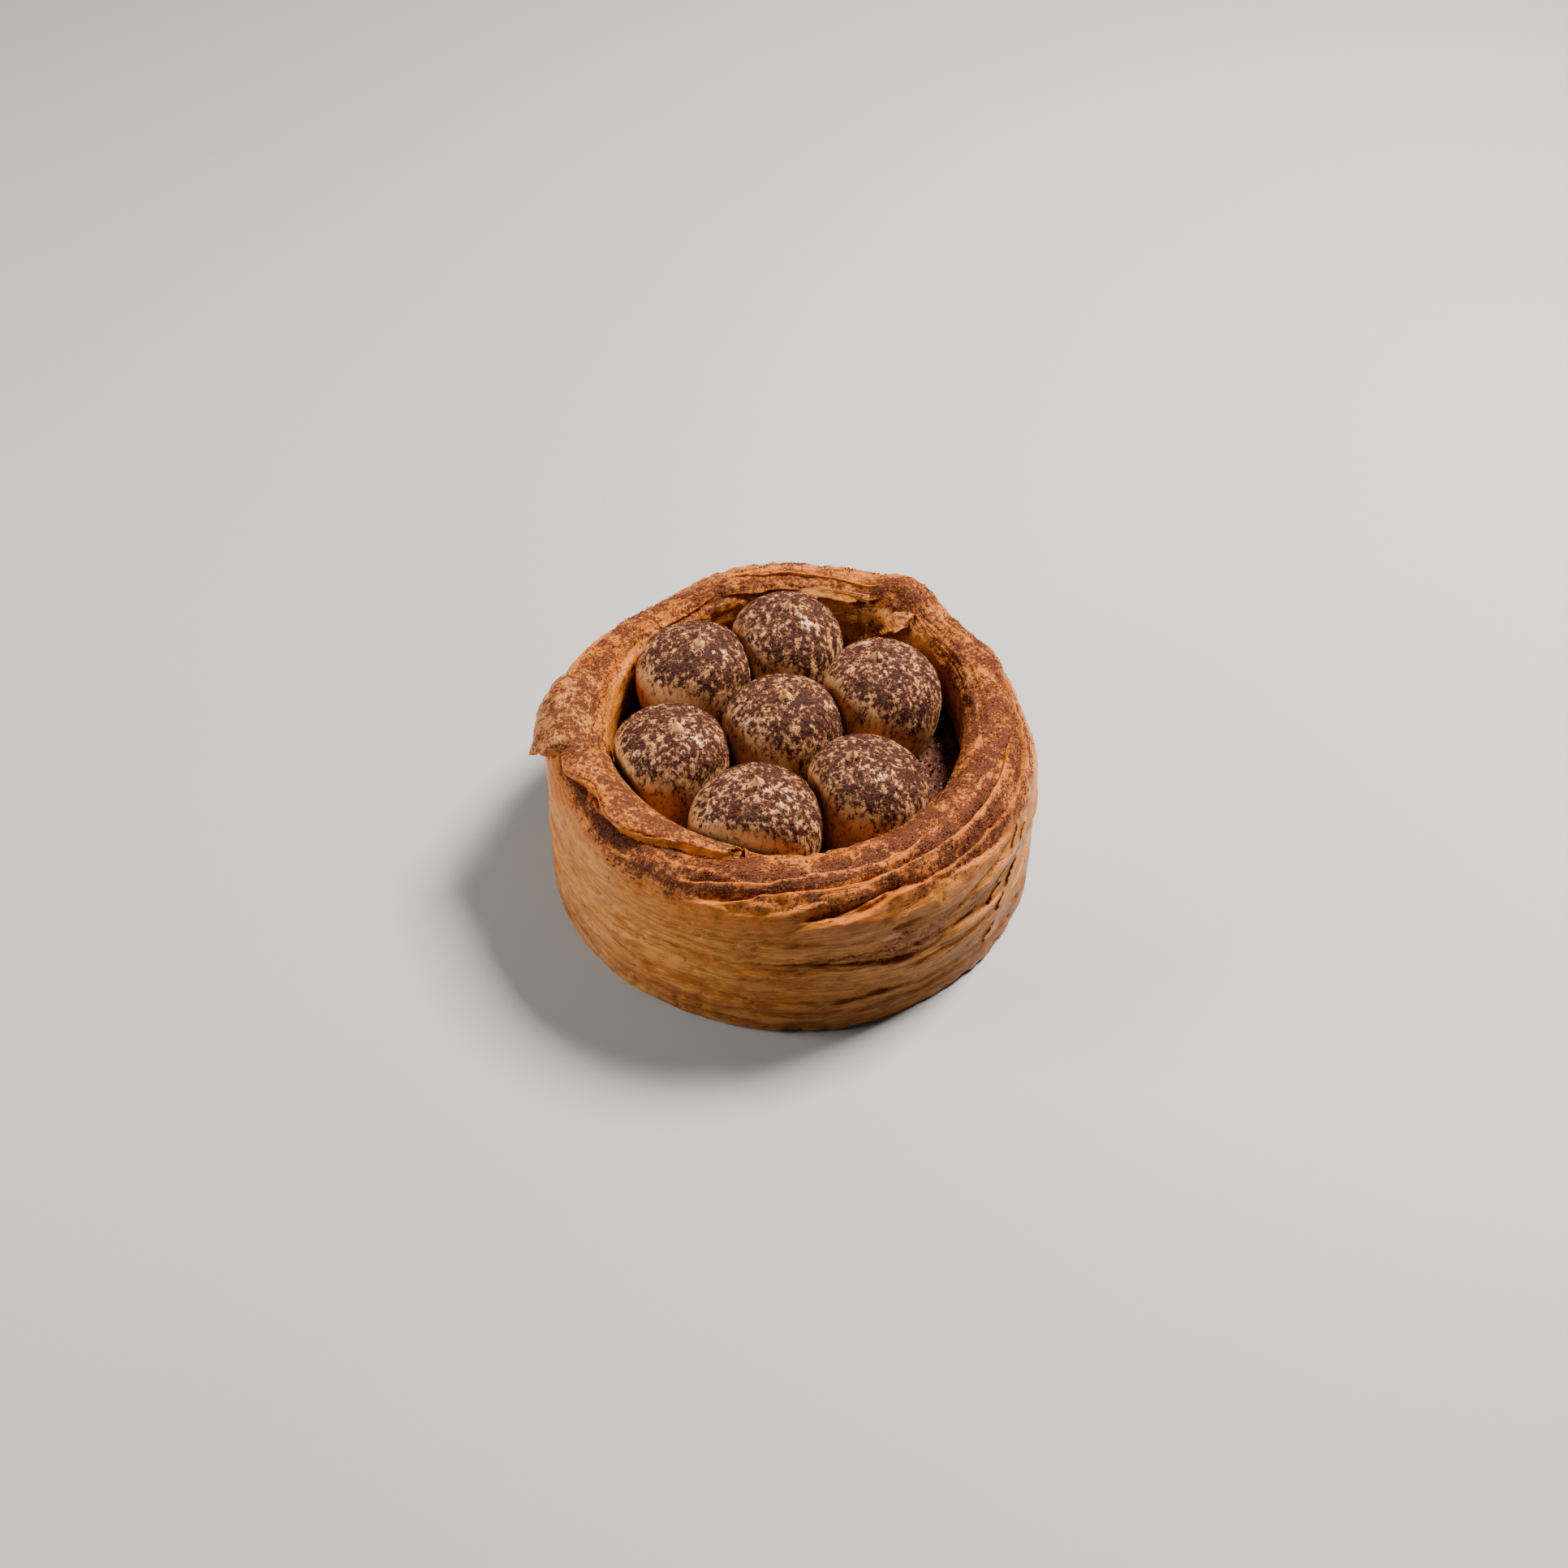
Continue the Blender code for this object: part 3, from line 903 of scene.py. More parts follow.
    def layers(self, azimuth: Array, run: Array) -> Folds:
        """What the layer edges do to the surface.

        A layer stands proud on its own side, less so away from its edge, and drops in a short
        eased step to a groove that fades away. Its edge slides over the groove, and the foot of
        the step slides under it, so that the edge overhangs.

        Args:
            azimuth: degrees.
            run: mm.

        Returns:
            Movement along the normal, movement along the run, the depth of groove, and how close
            the point is to the face of an edge.
        """
        azimuth, run = np.broadcast_arrays(azimuth, run)
        total = Folds(*(np.zeros(run.shape) for _ in range(4)))
        for layer in LAYERS:
            along = (azimuth - layer.start) % TURN
            left = layer.end - layer.start - along
            fade = tapered(along, left, self.layer_taper, self.layer_taper)
            beyond = (run - self.edge_run(layer.edge, azimuth)) * layer.side.value
            size = (layer.lift, layer.groove, layer.reach, layer.overhang)
            part = self.fold(beyond, fade, size, layer.side)
            for whole, share in zip(total, part):
                whole += share
        for index, sliver in enumerate(self.slivers):
            along = (azimuth - sliver.start) % TURN
            frayed = 0.34 * np.sin(0.31 * along + index) + 0.08 * np.sin(1.3 * along + 2.0 * index)
            beyond = (run - sliver.run - sliver.slope * along - frayed) * sliver.side.value
            near = (along < sliver.length) & (np.abs(beyond) < self.sliver_room)
            left = sliver.length - along[near]
            fade = tapered(along[near], left, self.sliver_taper, self.sliver_taper)
            size = (sliver.lift, sliver.groove, self.sliver_reach, 0.5 * sliver.groove)
            part = self.fold(beyond[near], fade, size, sliver.side)
            for whole, share in zip(total, part):
                whole[near] += share
        return total

    def surface(self, azimuth: Array, run: Array, standoff: Array, layered: bool = True) -> Array:
        """Points of the case.

        The section is turned about the axis, moved along its normal by slow waves, the layers
        and the standoff, and then outwards and upwards by each bump.

        Args:
            azimuth: degrees.
            run: mm.
            standoff: mm along the normal.
            layered: whether the layer edges show. A loose leaf lies on the form without them.

        Returns:
            Positions in mm, with x, y and z on the last axis.
        """
        moved, slid = self.layers(azimuth, run)[:2] if layered else (0.0, 0.0)
        rise = smooth(run / 6.0) * smooth((58.0 - run) / 5.0)
        at = run + slid * rise
        steps, runs = self.table
        inner = self.opening_radius(azimuth)
        (before_r, before_z), (radius, height), (after_r, after_z) = (
            self.section(np.interp(at + shift, runs, steps), inner)
            for shift in (-self.slope_probe, 0.0, self.slope_probe)
        )
        along_r, along_z = after_r - before_r, after_z - before_z
        length = np.maximum(np.hypot(along_r, along_z), 1e-6)
        waves = np.sin(np.radians(3 * azimuth + 40)) + 0.7 * np.sin(np.radians(7 * azimuth) + run / 9.0)
        moved = (moved + self.wave * waves) * rise + standoff
        radius = radius + moved * along_z / length
        height = height - moved * along_r / length
        for bump in BUMPS:
            across = np.abs(apart(azimuth, bump.azimuth) / bump.spread_azimuth) ** bump.power
            weight = rise * np.exp(-0.5 * (across + ((run - bump.run) / bump.spread_run) ** 2))
            radius = radius + weight * bump.outwards
            height = height + weight * bump.upwards
        angle = np.radians(azimuth)
        return np.stack((radius * np.cos(angle), radius * np.sin(angle), height), axis=-1)


class Sieved(NamedTuple):
    """Lowest run that cocoa reached at an azimuth, and how much fell on the rim there."""

    azimuth: float
    border: float
    amount: float


SIEVED = (
    Sieved(0, 30, 0.64), Sieved(30, 31, 0.60), Sieved(60, 31, 0.58), Sieved(100, 30, 0.53),
    Sieved(150, 30, 0.50), Sieved(185, 33, 0.54), Sieved(205, 31, 0.60), Sieved(230, 29, 0.60),
    Sieved(255, 30, 0.58), Sieved(275, 30, 0.59), Sieved(300, 29, 0.61), Sieved(330, 27, 0.64),
    Sieved(360, 30, 0.64),
)


@dataclass(frozen=True)
class Dusting:
    """How cocoa falls on the dough."""

    seed: int = 400
    clump: float = 2.3
    fleck: float = 0.85
    least: float = 0.07
    gathering: float = 0.62
    bare_edge: float = 0.75

    def cover(self, azimuth: Array, run: Array) -> Array:
        """Share of the dough that the sieve reached.

        The rim is covered from a lower border, which wanders with azimuth, over the crest to the
        lip. Inside and on the wall only a little lands. The right got the most.

        Args:
            azimuth: degrees.
            run: mm.

        Returns:
            0 for none and 1 for all.
        """
        known, borders, amounts = (np.array(axis, float) for axis in zip(*SIEVED))
        border, amount = (eased(azimuth % TURN, known, values, 5.0) for values in (borders, amounts))
        rim = smooth((run - border + 1.5) / 8.0) * (1.0 - 0.55 * smooth((run - 45.0) / 5.0))
        return np.maximum(amount * rim, self.least)

    def lie(
        self, points: Array, normal: Array, cover: Array,
        hollow: Array | float = 0.0, crisp: Array | float = 0.0,
    ) -> Array:
        """How thick the dust lies: cover on upward faces, gathered in clumps and grooves.

        Args:
            points: positions in mm.
            normal: unit normals.
            cover: share that the sieve reached.
            hollow: depth of groove in mm.
            crisp: how close the point is to the face of an edge, which stays bare.

        Returns:
            0 for bare to 1 for thick.
        """
        upward = smooth((normal[..., 2] + 0.25) / 0.7)
        clumps = Noise(self.seed).layered(points / self.clump, 2, 0.6)
        flecks = Noise(self.seed + 9).layered(points / self.fleck, 2, 0.7)
        gathered = self.gathering * smooth((hollow - 0.35) / 0.7) * (1.0 - 0.72 * smooth(cover / 0.5))
        thick = cover * (0.45 + 0.55 * upward) + gathered
        thick = thick * (1.0 - self.bare_edge * np.clip(crisp, 0.0, 1.0))
        return np.clip(thick + (0.06 + 0.66 * thick) * (0.55 * clumps + 0.24 * flecks), 0.0, 1.0)


@dataclass(frozen=True)
class PastryCase:
    """The case: the main body of dough, which the loose leaves lie on."""

    form: CaseForm
    dusting: Dusting
    columns: int = 640
    counts: tuple[int, ...] = (36, 26, 16, 11, 22, 12, 16)  # rows between one line and the next
    evenness: float = 0.45  # 1 for even rows, and less for rows that crowd towards the lines
    waves: float = 0.42
    streaks: float = 0.16
    threads: float = 0.07
    crack_depth: float = 0.36
    crack_width: float = 0.045
    fray: float = 0.7

    def rows(self, azimuth: Array) -> tuple[Array, Array]:
        """Rows of the grid that follow the layer edges and crowd together next to them.

        Between two edges a row sits at a fixed share of the gap, drawn towards both ends by a
        cosine.

        Args:
            azimuth: degrees of the columns.

        Returns:
            Run of each point, shape (rows, columns), and the level of each row.
        """
        still = np.zeros_like(azimuth)
        lines = {"foot": still, **{name: self.form.edge_run(name, azimuth) for name in EDGES}}
        lines["inside"] = still + self.form.run_at(4.0)
        lines["end"] = still + self.form.run_at(5.0)
        names = list(lines)
        runs, levels = [], []
        for low, high, count in zip(names, names[1:], self.counts):
            share = np.arange(count) / count
            crowded = 0.5 * (1.0 - self.evenness) * (1.0 - np.cos(math.pi * share))
            share = self.evenness * share + crowded
            gap = np.maximum(lines[high] - lines[low], 0.3)
            runs.append(lines[low] + share[:, None] * gap)
            levels.append(LEVELS[low] + share * (LEVELS[high] - LEVELS[low]))
        runs.append(lines["end"][None])
        levels.append(np.array([LEVELS["end"]]))
        return np.concatenate(runs), np.concatenate(levels)

    def relief(self, azimuth: Array, level: Array, run: Array) -> Array:
        """Fine relief along the normal: long streaks, threads, cracks and soft waves.

        Each is noise on (place round the ring, level), drawn out along the layers. A crack is a
        narrow valley where its noise crosses zero.

        Args:
            azimuth: degrees.
            level: place between the layer edges, in mm.
            run: mm.

        Returns:
            Movement in mm.
        """
        ring = self.form.ring_point
        waves = Noise(11).layered(ring(azimuth, 0.08, level / 8.0), 2)
        streaks = Noise(21).layered(ring(azimuth, 0.11, level / 1.3), 3)
        threads = Noise(31).layered(ring(azimuth, 0.28, level / 0.55), 2)
        valley = Noise(41).layered(ring(azimuth, 0.10, level / 2.1), 2)
        lumps = Noise(51).layered(ring(azimuth, 0.55, run / 2.2), 2)
        rim = smooth((run - 27.0) / 8.0)
        cracks = self.crack_depth * bell(valley / self.crack_width) * (1.0 - 0.6 * rim)
        foot = smooth((10.0 - run) / 8.0)
        moved = self.waves * waves + (self.streaks + 0.08 * rim) * streaks + self.threads * threads - cracks
        moved = moved + (0.06 + 0.24 * rim + 0.12 * foot) * lumps
        return moved * smooth((run + 0.5) / 2.0) * smooth((60.0 - run) / 6.0)

    def body(self) -> tuple[Array, dict[str, Array]]:
        """The rings of the case with their values.

        Returns:
            Positions, and dust, bake_and_painted_light, amber_and_painted_glow and flow at each.
        """
        form = self.form
        azimuth = np.arange(self.columns) * TURN / self.columns
        run, level = self.rows(azimuth)
        azimuth = np.broadcast_to(azimuth, run.shape)
        level = np.broadcast_to(level[:, None], run.shape)
        points = form.surface(azimuth, run, self.relief(azimuth, level, run))
        points[..., 2] = np.maximum(points[..., 2], 0.0)
        frayed = Noise(61).layered(form.ring_point(azimuth, 0.17, 0.0), 4, 0.6)
        points[..., 2] += self.fray * np.maximum(frayed, 0.0) * smooth((3.0 - run) / 3.0)
        normal, _ = normals_of(points, closed=True)
        folds = form.layers(azimuth, run)
        hollow = folds.hollow * (1.0 - smooth((run - 43.0) / 3.0))
        dust = self.dusting.lie(points, normal, self.dusting.cover(azimuth, run), hollow, folds.crisp)
        inner = form.opening_radius(azimuth[0])
        angle = np.radians(azimuth[0])
        level_floor = np.full_like(angle, form.floor_thickness)
        floor = np.stack((inner * np.cos(angle), inner * np.sin(angle), level_floor), axis=-1)
        points = np.concatenate((points, floor[None]))
        # Bake: darker brown towards the foot, partly the dough's own browning and partly painted shade; paler
        # inside as painted light, standing for light through the thin inner wall; browner in the grooves as
        # painted shade.
        low = smooth((18.0 - run) / 16.0)
        inside = smooth((run - 46.0) / 4.0)
        patches = Noise(81).layered(form.ring_point(azimuth, 0.09, level / 6.0), 2)
        bake_and_painted_light = 0.17 + 0.42 * low + 0.18 * patches - 0.34 * inside + 0.12 * smooth(folds.hollow / 1.5)
        rim = smooth((run - 26.0) / 8.0)
        # Amber: the rim's orange and the random patches are the dough's own colour; on the faces of layer
        # edges and in the grooves it is painted glow, standing for light through thin dough. Less of it
        # inside, where the dough is painted paler.
        amber_and_painted_glow = 0.85 * rim * (1.0 - 0.40 * inside) + 0.1 * smooth(folds.hollow / 1.2)
        amber_and_painted_glow = amber_and_painted_glow + 0.3 * folds.crisp + 0.25 * np.maximum(patches, 0.0)
        values = {
            "dust": dust,
            "bake_and_painted_light": np.clip(bake_and_painted_light, 0.0, 1.0),
            "amber_and_painted_glow": np.clip(amber_and_painted_glow, 0.0, 1.0),
            "flow": form.ring_point(azimuth, 1.0, level) * MM,
        }
        return points, {name: np.concatenate((value, value[-1:])) for name, value in values.items()}

    def build(self, finish: Finish) -> Surface:
        """Makes the case's body.

        Args:
            finish: the dough's material.

        Returns:
            The case's surface.
        """
        points, values = self.body()
        Shape.turned(points, values).put("pastry_case_baked", finish, "pastry", "pastry_case")
        return Surface(points, *normals_of(points, closed=True), values["dust"])


Corner = tuple[float, float, float]  # azimuth, run, and how far it stands off the case


@dataclass(frozen=True)
class Leaf:
    """A loose thin sheet of dough between a root edge and a free edge."""

    name: str
    root: tuple[Corner, ...]
    free: tuple[Corner, ...]
    thickness: float = 0.7
    ragged: float = 0.08
    crown: float = 0.0
    curl: float = 0.0
    wrinkle: float = 0.25
    # Amber share of the sheet: its own orange, and painted glow that grows towards the free edge and on the
    # underside.
    amber_and_painted_glow: float = 0.5
    bake_and_painted_light: float = 0.15
    dust: float = 0.5
    tuck: tuple[float, float] = (0.12, 0.12)
    columns: int = 120
    rows: int = 16
    seed: int = 1

    def build(self, form: CaseForm, dusting: Dusting, finish: Finish) -> None:
        """Makes the sheet.

        Each point goes from the root to the free edge by its share, which the ragged edge cuts
        short here and there. It stands off the case by the eased blend of both edges' standoffs,
        plus a crown halfway, a curl at the free edge and wrinkles along it, and its ends are tucked
        in. The underside is one thickness below, thinner towards the free edge.

        Args:
            form: the case that carries it.
            dusting: how cocoa falls.
            finish: the dough's material.
        """
        along = np.linspace(0.0, 1.0, self.columns)
        root, free = (
            [eased(along, np.linspace(0, 1, len(edge)), np.array(axis, float), 0.03) for axis in zip(*edge)]
            for edge in (self.root, self.free)
        )
        share = np.linspace(0.0, 1.0, self.rows)[:, None]
        still = np.zeros_like(along)
        torn = Noise(self.seed).layered(np.stack((along * self.columns / 9.0, still, still), axis=-1), 3, 0.7)
        reach = share * (1.0 - self.ragged * (0.6 + torn) * share)
        azimuth = root[0] + (free[0] - root[0]) * reach
        run = root[1] + (free[1] - root[1]) * reach
        ends = tapered(along, 1.0 - along, *self.tuck)
        creased = np.stack(np.broadcast_arrays(along * 14.0, share * 2.0, 0.0), axis=-1)
        rumple = Noise(self.seed + 5).layered(creased, 2)
        lifted = root[2] + (free[2] - root[2]) * reach**1.6 + self.crown * np.sin(math.pi * share)
        lifted = lifted + self.curl * smooth((share - 0.8) / 0.2)
        lifted = lifted * ends - 0.5 * (1.0 - ends) + self.wrinkle * rumple * share
        depth = self.thickness * (1.0 - 0.6 * share)
        top = form.surface(azimuth, run, lifted, layered=False)
        under = form.surface(azimuth, run, lifted - depth, layered=False)
        normal, _ = normals_of(top, closed=False)
        middle = self.rows // 2, self.columns // 2
        if normal[middle] @ (top - under)[middle] < 0.0:
            top, under, azimuth, run, share = (part[::-1] for part in (top, under, azimuth, run, share))
            normal, _ = normals_of(top, closed=False)
        thick = dusting.lie(top, normal, np.full_like(azimuth, self.dust))
        # Painted glow: the free edge and the underside are more amber, standing for light shining through the
        # thin sheet.
        edge = smooth((share - 0.72) / 0.28) + np.zeros_like(azimuth)
        glow = np.clip(self.amber_and_painted_glow * (0.35 + 0.65 * edge), 0.0, 1.0)
        flow = form.ring_point(azimuth, 1.0, run) * MM
        values = {
            "dust": np.stack((thick * (1.0 - 0.35 * edge), np.full_like(thick, 0.04))),
            "bake_and_painted_light": np.full((2, *azimuth.shape), self.bake_and_painted_light),
            "amber_and_painted_glow": np.stack((glow, np.clip(glow + 0.3, 0.0, 1.0))),
            "flow": np.stack((flow, flow)),
        }
        Shape.sheet(top, under, values).put(self.name, finish, "pastry")


LEAVES = (
    Leaf(
        "lip_ribbon",
        root=((190, 47, 0.2), (205, 49, 0.2), (225, 50, 0.2), (245, 50, 0.2), (256, 49, 0.2)),
        free=(
            (194, 36.8, 1.2), (199, 36.2, 1.3), (203, 38.2, 1.3), (208, 40.2, 1.2), (213, 39.6, 1.3),
            (219, 38.1, 1.3), (224, 38.6, 1.2), (229, 39.8, 1.1), (237, 41.8, 1.0), (245, 42.8, 0.9),
            (254, 43.4, 0.8),
        ),
        thickness=1.2, ragged=0.02, crown=0.5, curl=-0.2, wrinkle=0.10, amber_and_painted_glow=0.85, dust=0.60,
        tuck=(0.1, 0.04), columns=200, rows=26, seed=101,
    ),
    Leaf(
        "shoulder_flap",
        root=((163, 43, 0.2), (172, 44, 0.2), (182, 44, 0.2), (195, 42, 0.2)),
        free=(
            (167, 37, 0.9), (172, 34.8, 1.9), (177, 32.8, 2.7), (182, 31.0, 3.0), (186, 30.0, 2.9),
            (189, 31.6, 2.2), (192, 35, 1.0),
        ),
        ragged=0.05, crown=0.7, wrinkle=0.3, columns=150, rows=28, seed=111,
    ),
    Leaf(
        "lip_scrap",
        root=((252, 46, 0.1), (258, 47, 0.1)),
        free=((251.5, 43.6, 1.2), (254, 43.4, 2.0), (257, 44.4, 1.4)),
        thickness=0.5, ragged=0.3, amber_and_painted_glow=0.9, dust=0.3, columns=40, rows=10, seed=131,
    ),
    Leaf(
        "flank_flake_outer",
        root=((346, 3, -0.8), (350, 16, -0.8), (351, 30, -0.8)),
        free=(
            (319, 5.5, 0.3), (322, 9, 0.35), (324, 13, 0.3), (327, 17, 0.35), (329, 21, 0.35),
            (332, 25, 0.35), (336, 29, 0.3),
        ),
        thickness=0.6, wrinkle=0.08, amber_and_painted_glow=0.3, bake_and_painted_light=0.1, dust=0.06,
        tuck=(0.03, 0.06), columns=130, rows=20, seed=141,
    ),
    Leaf(
        "flank_flake_inner",
        root=((338, 8, -0.8), (343, 20, -0.8), (344, 33, -0.8)),
        free=(
            (315, 13.5, 0.2), (319, 16.5, 0.25), (322, 20, 0.25), (326, 24, 0.25), (330, 29, 0.25),
            (334, 32, 0.2),
        ),
        thickness=0.6, wrinkle=0.08, amber_and_painted_glow=0.4, bake_and_painted_light=0.1, dust=0.08,
        tuck=(0.03, 0.06), columns=110, rows=18, seed=151,
    ),
    Leaf(
        "back_torn_layer",
        root=(
            (48, 44.5, 0.1), (54, 46.8, 0.1), (60, 47.3, 0.1), (66, 48.0, 0.1), (73, 50, 0.1), (82, 53, 0.1),
        ),
        free=(
            (48.5, 48.2, 2.4), (53, 49.6, 2.6), (57.5, 51, 2.6), (62, 52.6, 2.4), (67, 54.4, 2.2),
            (73, 55.6, 1.7), (81, 56.5, 0.8),
        ),
        thickness=0.9, ragged=0.10, crown=0.5, curl=0.5, wrinkle=0.35, amber_and_painted_glow=0.3, bake_and_painted_light=0.0, dust=0.32,
        tuck=(0.01, 0.2), columns=140, rows=18, seed=161,
    ),
    # Painted light: much amber and no browning, standing for light in the pocket behind the torn layer.
    Leaf(
        "pocket_layer",
        root=((64, 44.6, 0.2), (75, 45.2, 0.2), (88, 45.6, 0.2)),
        free=((62, 47.0, 0.5), (70, 47.6, 0.9), (79, 47.8, 0.9), (88, 47.4, 0.4)),
        thickness=0.5, ragged=0.25, amber_and_painted_glow=0.9, bake_and_painted_light=0.0, dust=0.12,
        tuck=(0.1, 0.1), columns=90, rows=10, seed=165,
    ),
)


# ---------------------------------------------------------------- the cream domes


class Dome(NamedTuple):
    """A dome's middle on the filling, widths, height and lean in mm."""

    x: float
    y: float
    width: float
    depth: float
    height: float
    lean_x: float
    lean_y: float


@dataclass(frozen=True)
class CreamDomes:
    """Seven piped domes, crowded together inside the case."""

    form: CaseForm
    domes: tuple[Dome, ...] = (
        Dome(-1.7, 1.4, 23.4, 23.2, 21.3, 0.6, -2.6),
        Dome(17.7, 10.1, 23.4, 23.4, 21.2, -1.6, -0.8),
        Dome(-1.1, 23.2, 22.8, 22.8, 21.3, 0.3, -0.2),
        Dome(-18.8, 16.4, 23.6, 23.4, 21.0, 1.3, -3.4),
        Dome(-23.2, -6.3, 23.2, 23.4, 21.0, 2.4, -3.0),
        Dome(-6.5, -23.1, 25.0, 22.8, 21.1, 0.6, 0.4),
        Dome(14.6, -14.8, 22.8, 22.6, 21.1, -3.6, -1.4),
    )
    waist: float = 0.44
    foot: float = 0.84
    sharpness: float = 0.90
    crowding: float = 16.0
    gap: float = 0.06
    sink: float = 0.7
    tip_height: float = 3.0
    tip_radius: float = 1.5
    tip_bend: float = 0.9
    lumps: float = 0.16
    fall: tuple[float, float, float] = (0.36, 0.22, 0.90)
    columns: int = 176
    foot_rows: int = 26
    cap_rows: int = 62
    tip_rows: int = 16

    def profile(self, dome: Dome) -> tuple[Array, Array, Array]:
        """Levels of a dome from its foot to its tip.

        Below the waist it swells as a sine, and above it closes as a cosine whose height is
        drawn up a little. The tip is a spike whose radius falls off as a power.

        Args:
            dome: the dome.

        Returns:
            Share of the widest radius, height, and the least radius that the spike gives.
        """
        top = dome.height - self.sink
        waist = self.waist * dome.height
        cap = top - waist
        low = np.arange(self.foot_rows) / self.foot_rows
        angle = QUARTER * np.arange(self.cap_rows) / self.cap_rows
        rise = np.arange(self.tip_rows) / self.tip_rows
        swell = self.foot + (1 - self.foot) * np.sin(low * QUARTER)
        share = np.concatenate((swell, np.cos(angle), np.zeros_like(rise)))
        closing = waist + cap * np.sin(angle) ** self.sharpness
        level = np.concatenate((waist * low, closing, top + self.tip_height * rise))
        below = top - level
        spike = self.tip_radius * np.exp(-np.maximum(below, 0.0) / 0.5)
        spire = self.tip_radius * (1.0 - np.maximum(-below, 0.0) / self.tip_height) ** 1.7
        spike = np.where(below <= 0.0, spire, spike)
        return share, level, spike

    def room(self, dome: Dome, x: Array, y: Array, ux: Array, uy: Array) -> Array:
        """How far a level can spread in each direction, to its neighbours and the case.

        The border to a neighbour is the line that shares the gap between them by their widths.

        Args:
            dome: the dome.
            x: the level's middle across.
            y: the level's middle front to back.
            ux: direction across.
            uy: direction front to back.

        Returns:
            Distance in mm.
        """
        limit = self.form.opening - 0.4
        cx, cy = self.form.opening_centre()
        along = (x - cx) * ux + (y - cy) * uy
        room = -along + np.sqrt(np.maximum(0.0, along**2 - (x - cx) ** 2 - (y - cy) ** 2 + limit**2))
        for other in self.domes:
            if other is dome:
                continue
            dx, dy = other.x - dome.x, other.y - dome.y
            distance = math.hypot(dx, dy)
            nx, ny = dx / distance, dy / distance
            border = distance * dome.width / (dome.width + other.width) - self.gap / 2
            border = border - nx * (x - dome.x) - ny * (y - dome.y)
            facing = ux * nx + uy * ny
            room = np.where(facing > 0.02, np.minimum(room, border / np.maximum(facing, 0.02)), room)
        return room

    def rings(self, index: int, dome: Dome) -> Array:
        """Points of one dome, as rings from its foot to its tip.

        A ring is an ellipse with soft waves, pressed flat where it meets its room by a high
        power mean. The tip bends over, and each dome bends its own way.

        Args:
            index: the dome's number.
            dome: the dome.

        Returns:
            Positions, shape (rings, columns, 3).
        """
        share, level, spike = (part[:, None] for part in self.profile(dome))
        angle = 2 * math.pi * np.arange(self.columns) / self.columns
        ux, uy = np.cos(angle)[None], np.sin(angle)[None]
        raised = (level / dome.height) ** 3
        x = dome.x + dome.lean_x * np.minimum(raised, 1.0)
        y = dome.y + dome.lean_y * np.minimum(raised, 1.0)
        free = share / np.hypot(ux / dome.width, uy / dome.depth) / 2
        round_about = np.stack(np.broadcast_arrays(1.3 * ux, 1.3 * uy, level / 7.0), axis=-1)
        free = free * (1.0 + 0.018 * Noise(200 + index).layered(round_about, 2))
        room = self.room(dome, x, y, ux, uy)
        spread = free / (1.0 + (free / room) ** self.crowding) ** (1.0 / self.crowding)
        spread = np.sqrt(spread**2 + spike**2)
        over = np.maximum(level - dome.height + self.sink, 0.0) / self.tip_height
        turn = 2.1 + 1.3 * index
        x = x + self.tip_bend * math.cos(turn) * over**2
        y = y + self.tip_bend * math.sin(turn) * over**2
        height = self.form.filling_height - 0.4 + level * (1.0 + 0.4 / dome.height)
        return np.stack(np.broadcast_arrays(x + spread * ux, y + spread * uy, height), axis=-1)

    def dust(self, index: int, points: Array, normal: Array) -> Array:
        """How thick cocoa lies on a dome.

        It fell from above and from behind, right: the tops are thickest, and the near left sides
        are almost bare. Clumps of noise, drawn out down the sides, break it up, and the tip is bare.

        Args:
            index: the dome's number.
            points: positions in mm.
            normal: unit normals.

        Returns:
            0 for bare to 1 for thick.
        """
        fall = normal @ (np.array(self.fall) / math.sqrt(sum(part**2 for part in self.fall)))
        cover = 0.15 + 0.48 * smooth(fall + 0.45)
        drawn = points * np.array((1.0, 1.0, 0.36))
        clumps = Noise(300 + index).layered(drawn / 1.05, 2, 0.6)
        patches = Noise(320 + index).layered(points / 4.0, 1)
        cover = cover * (1.0 - 0.7 * smooth((points[..., 2] - points[..., 2].max() + 2.8) / 1.2))
        return np.clip(cover + (0.06 + 0.60 * cover) * (0.50 * clumps + 0.22 * patches), 0.0, 1.0)

    def build(self, finish: Finish) -> list[Surface]:
        """Makes the domes, with low lumps where cocoa lies thick.

        Args:
            finish: the cream's material.

        Returns:
            Each dome's surface.
        """
        made = []
        for index, dome in enumerate(self.domes, start=1):
            rings = self.rings(index, dome)
            normal, area = normals_of(rings, closed=True)
            dust = self.dust(index, rings, normal)
            lumps = self.lumps * smooth((dust - 0.3) / 0.4) * Noise(330).layered(rings / 0.9, 2, 0.6)
            rise = smooth(rings[..., 2] - self.form.filling_height)
            rings = rings + normal * lumps[..., None] * rise[..., None]
            solid = f"cream_dome_{index}"
            Shape.turned(rings, {"dust": dust}).put(f"{solid}_piped", finish, "cream", solid)
            made.append(Surface(rings, normal, area, dust))
        return made


# ---------------------------------------------------------------- the filling and loose cocoa


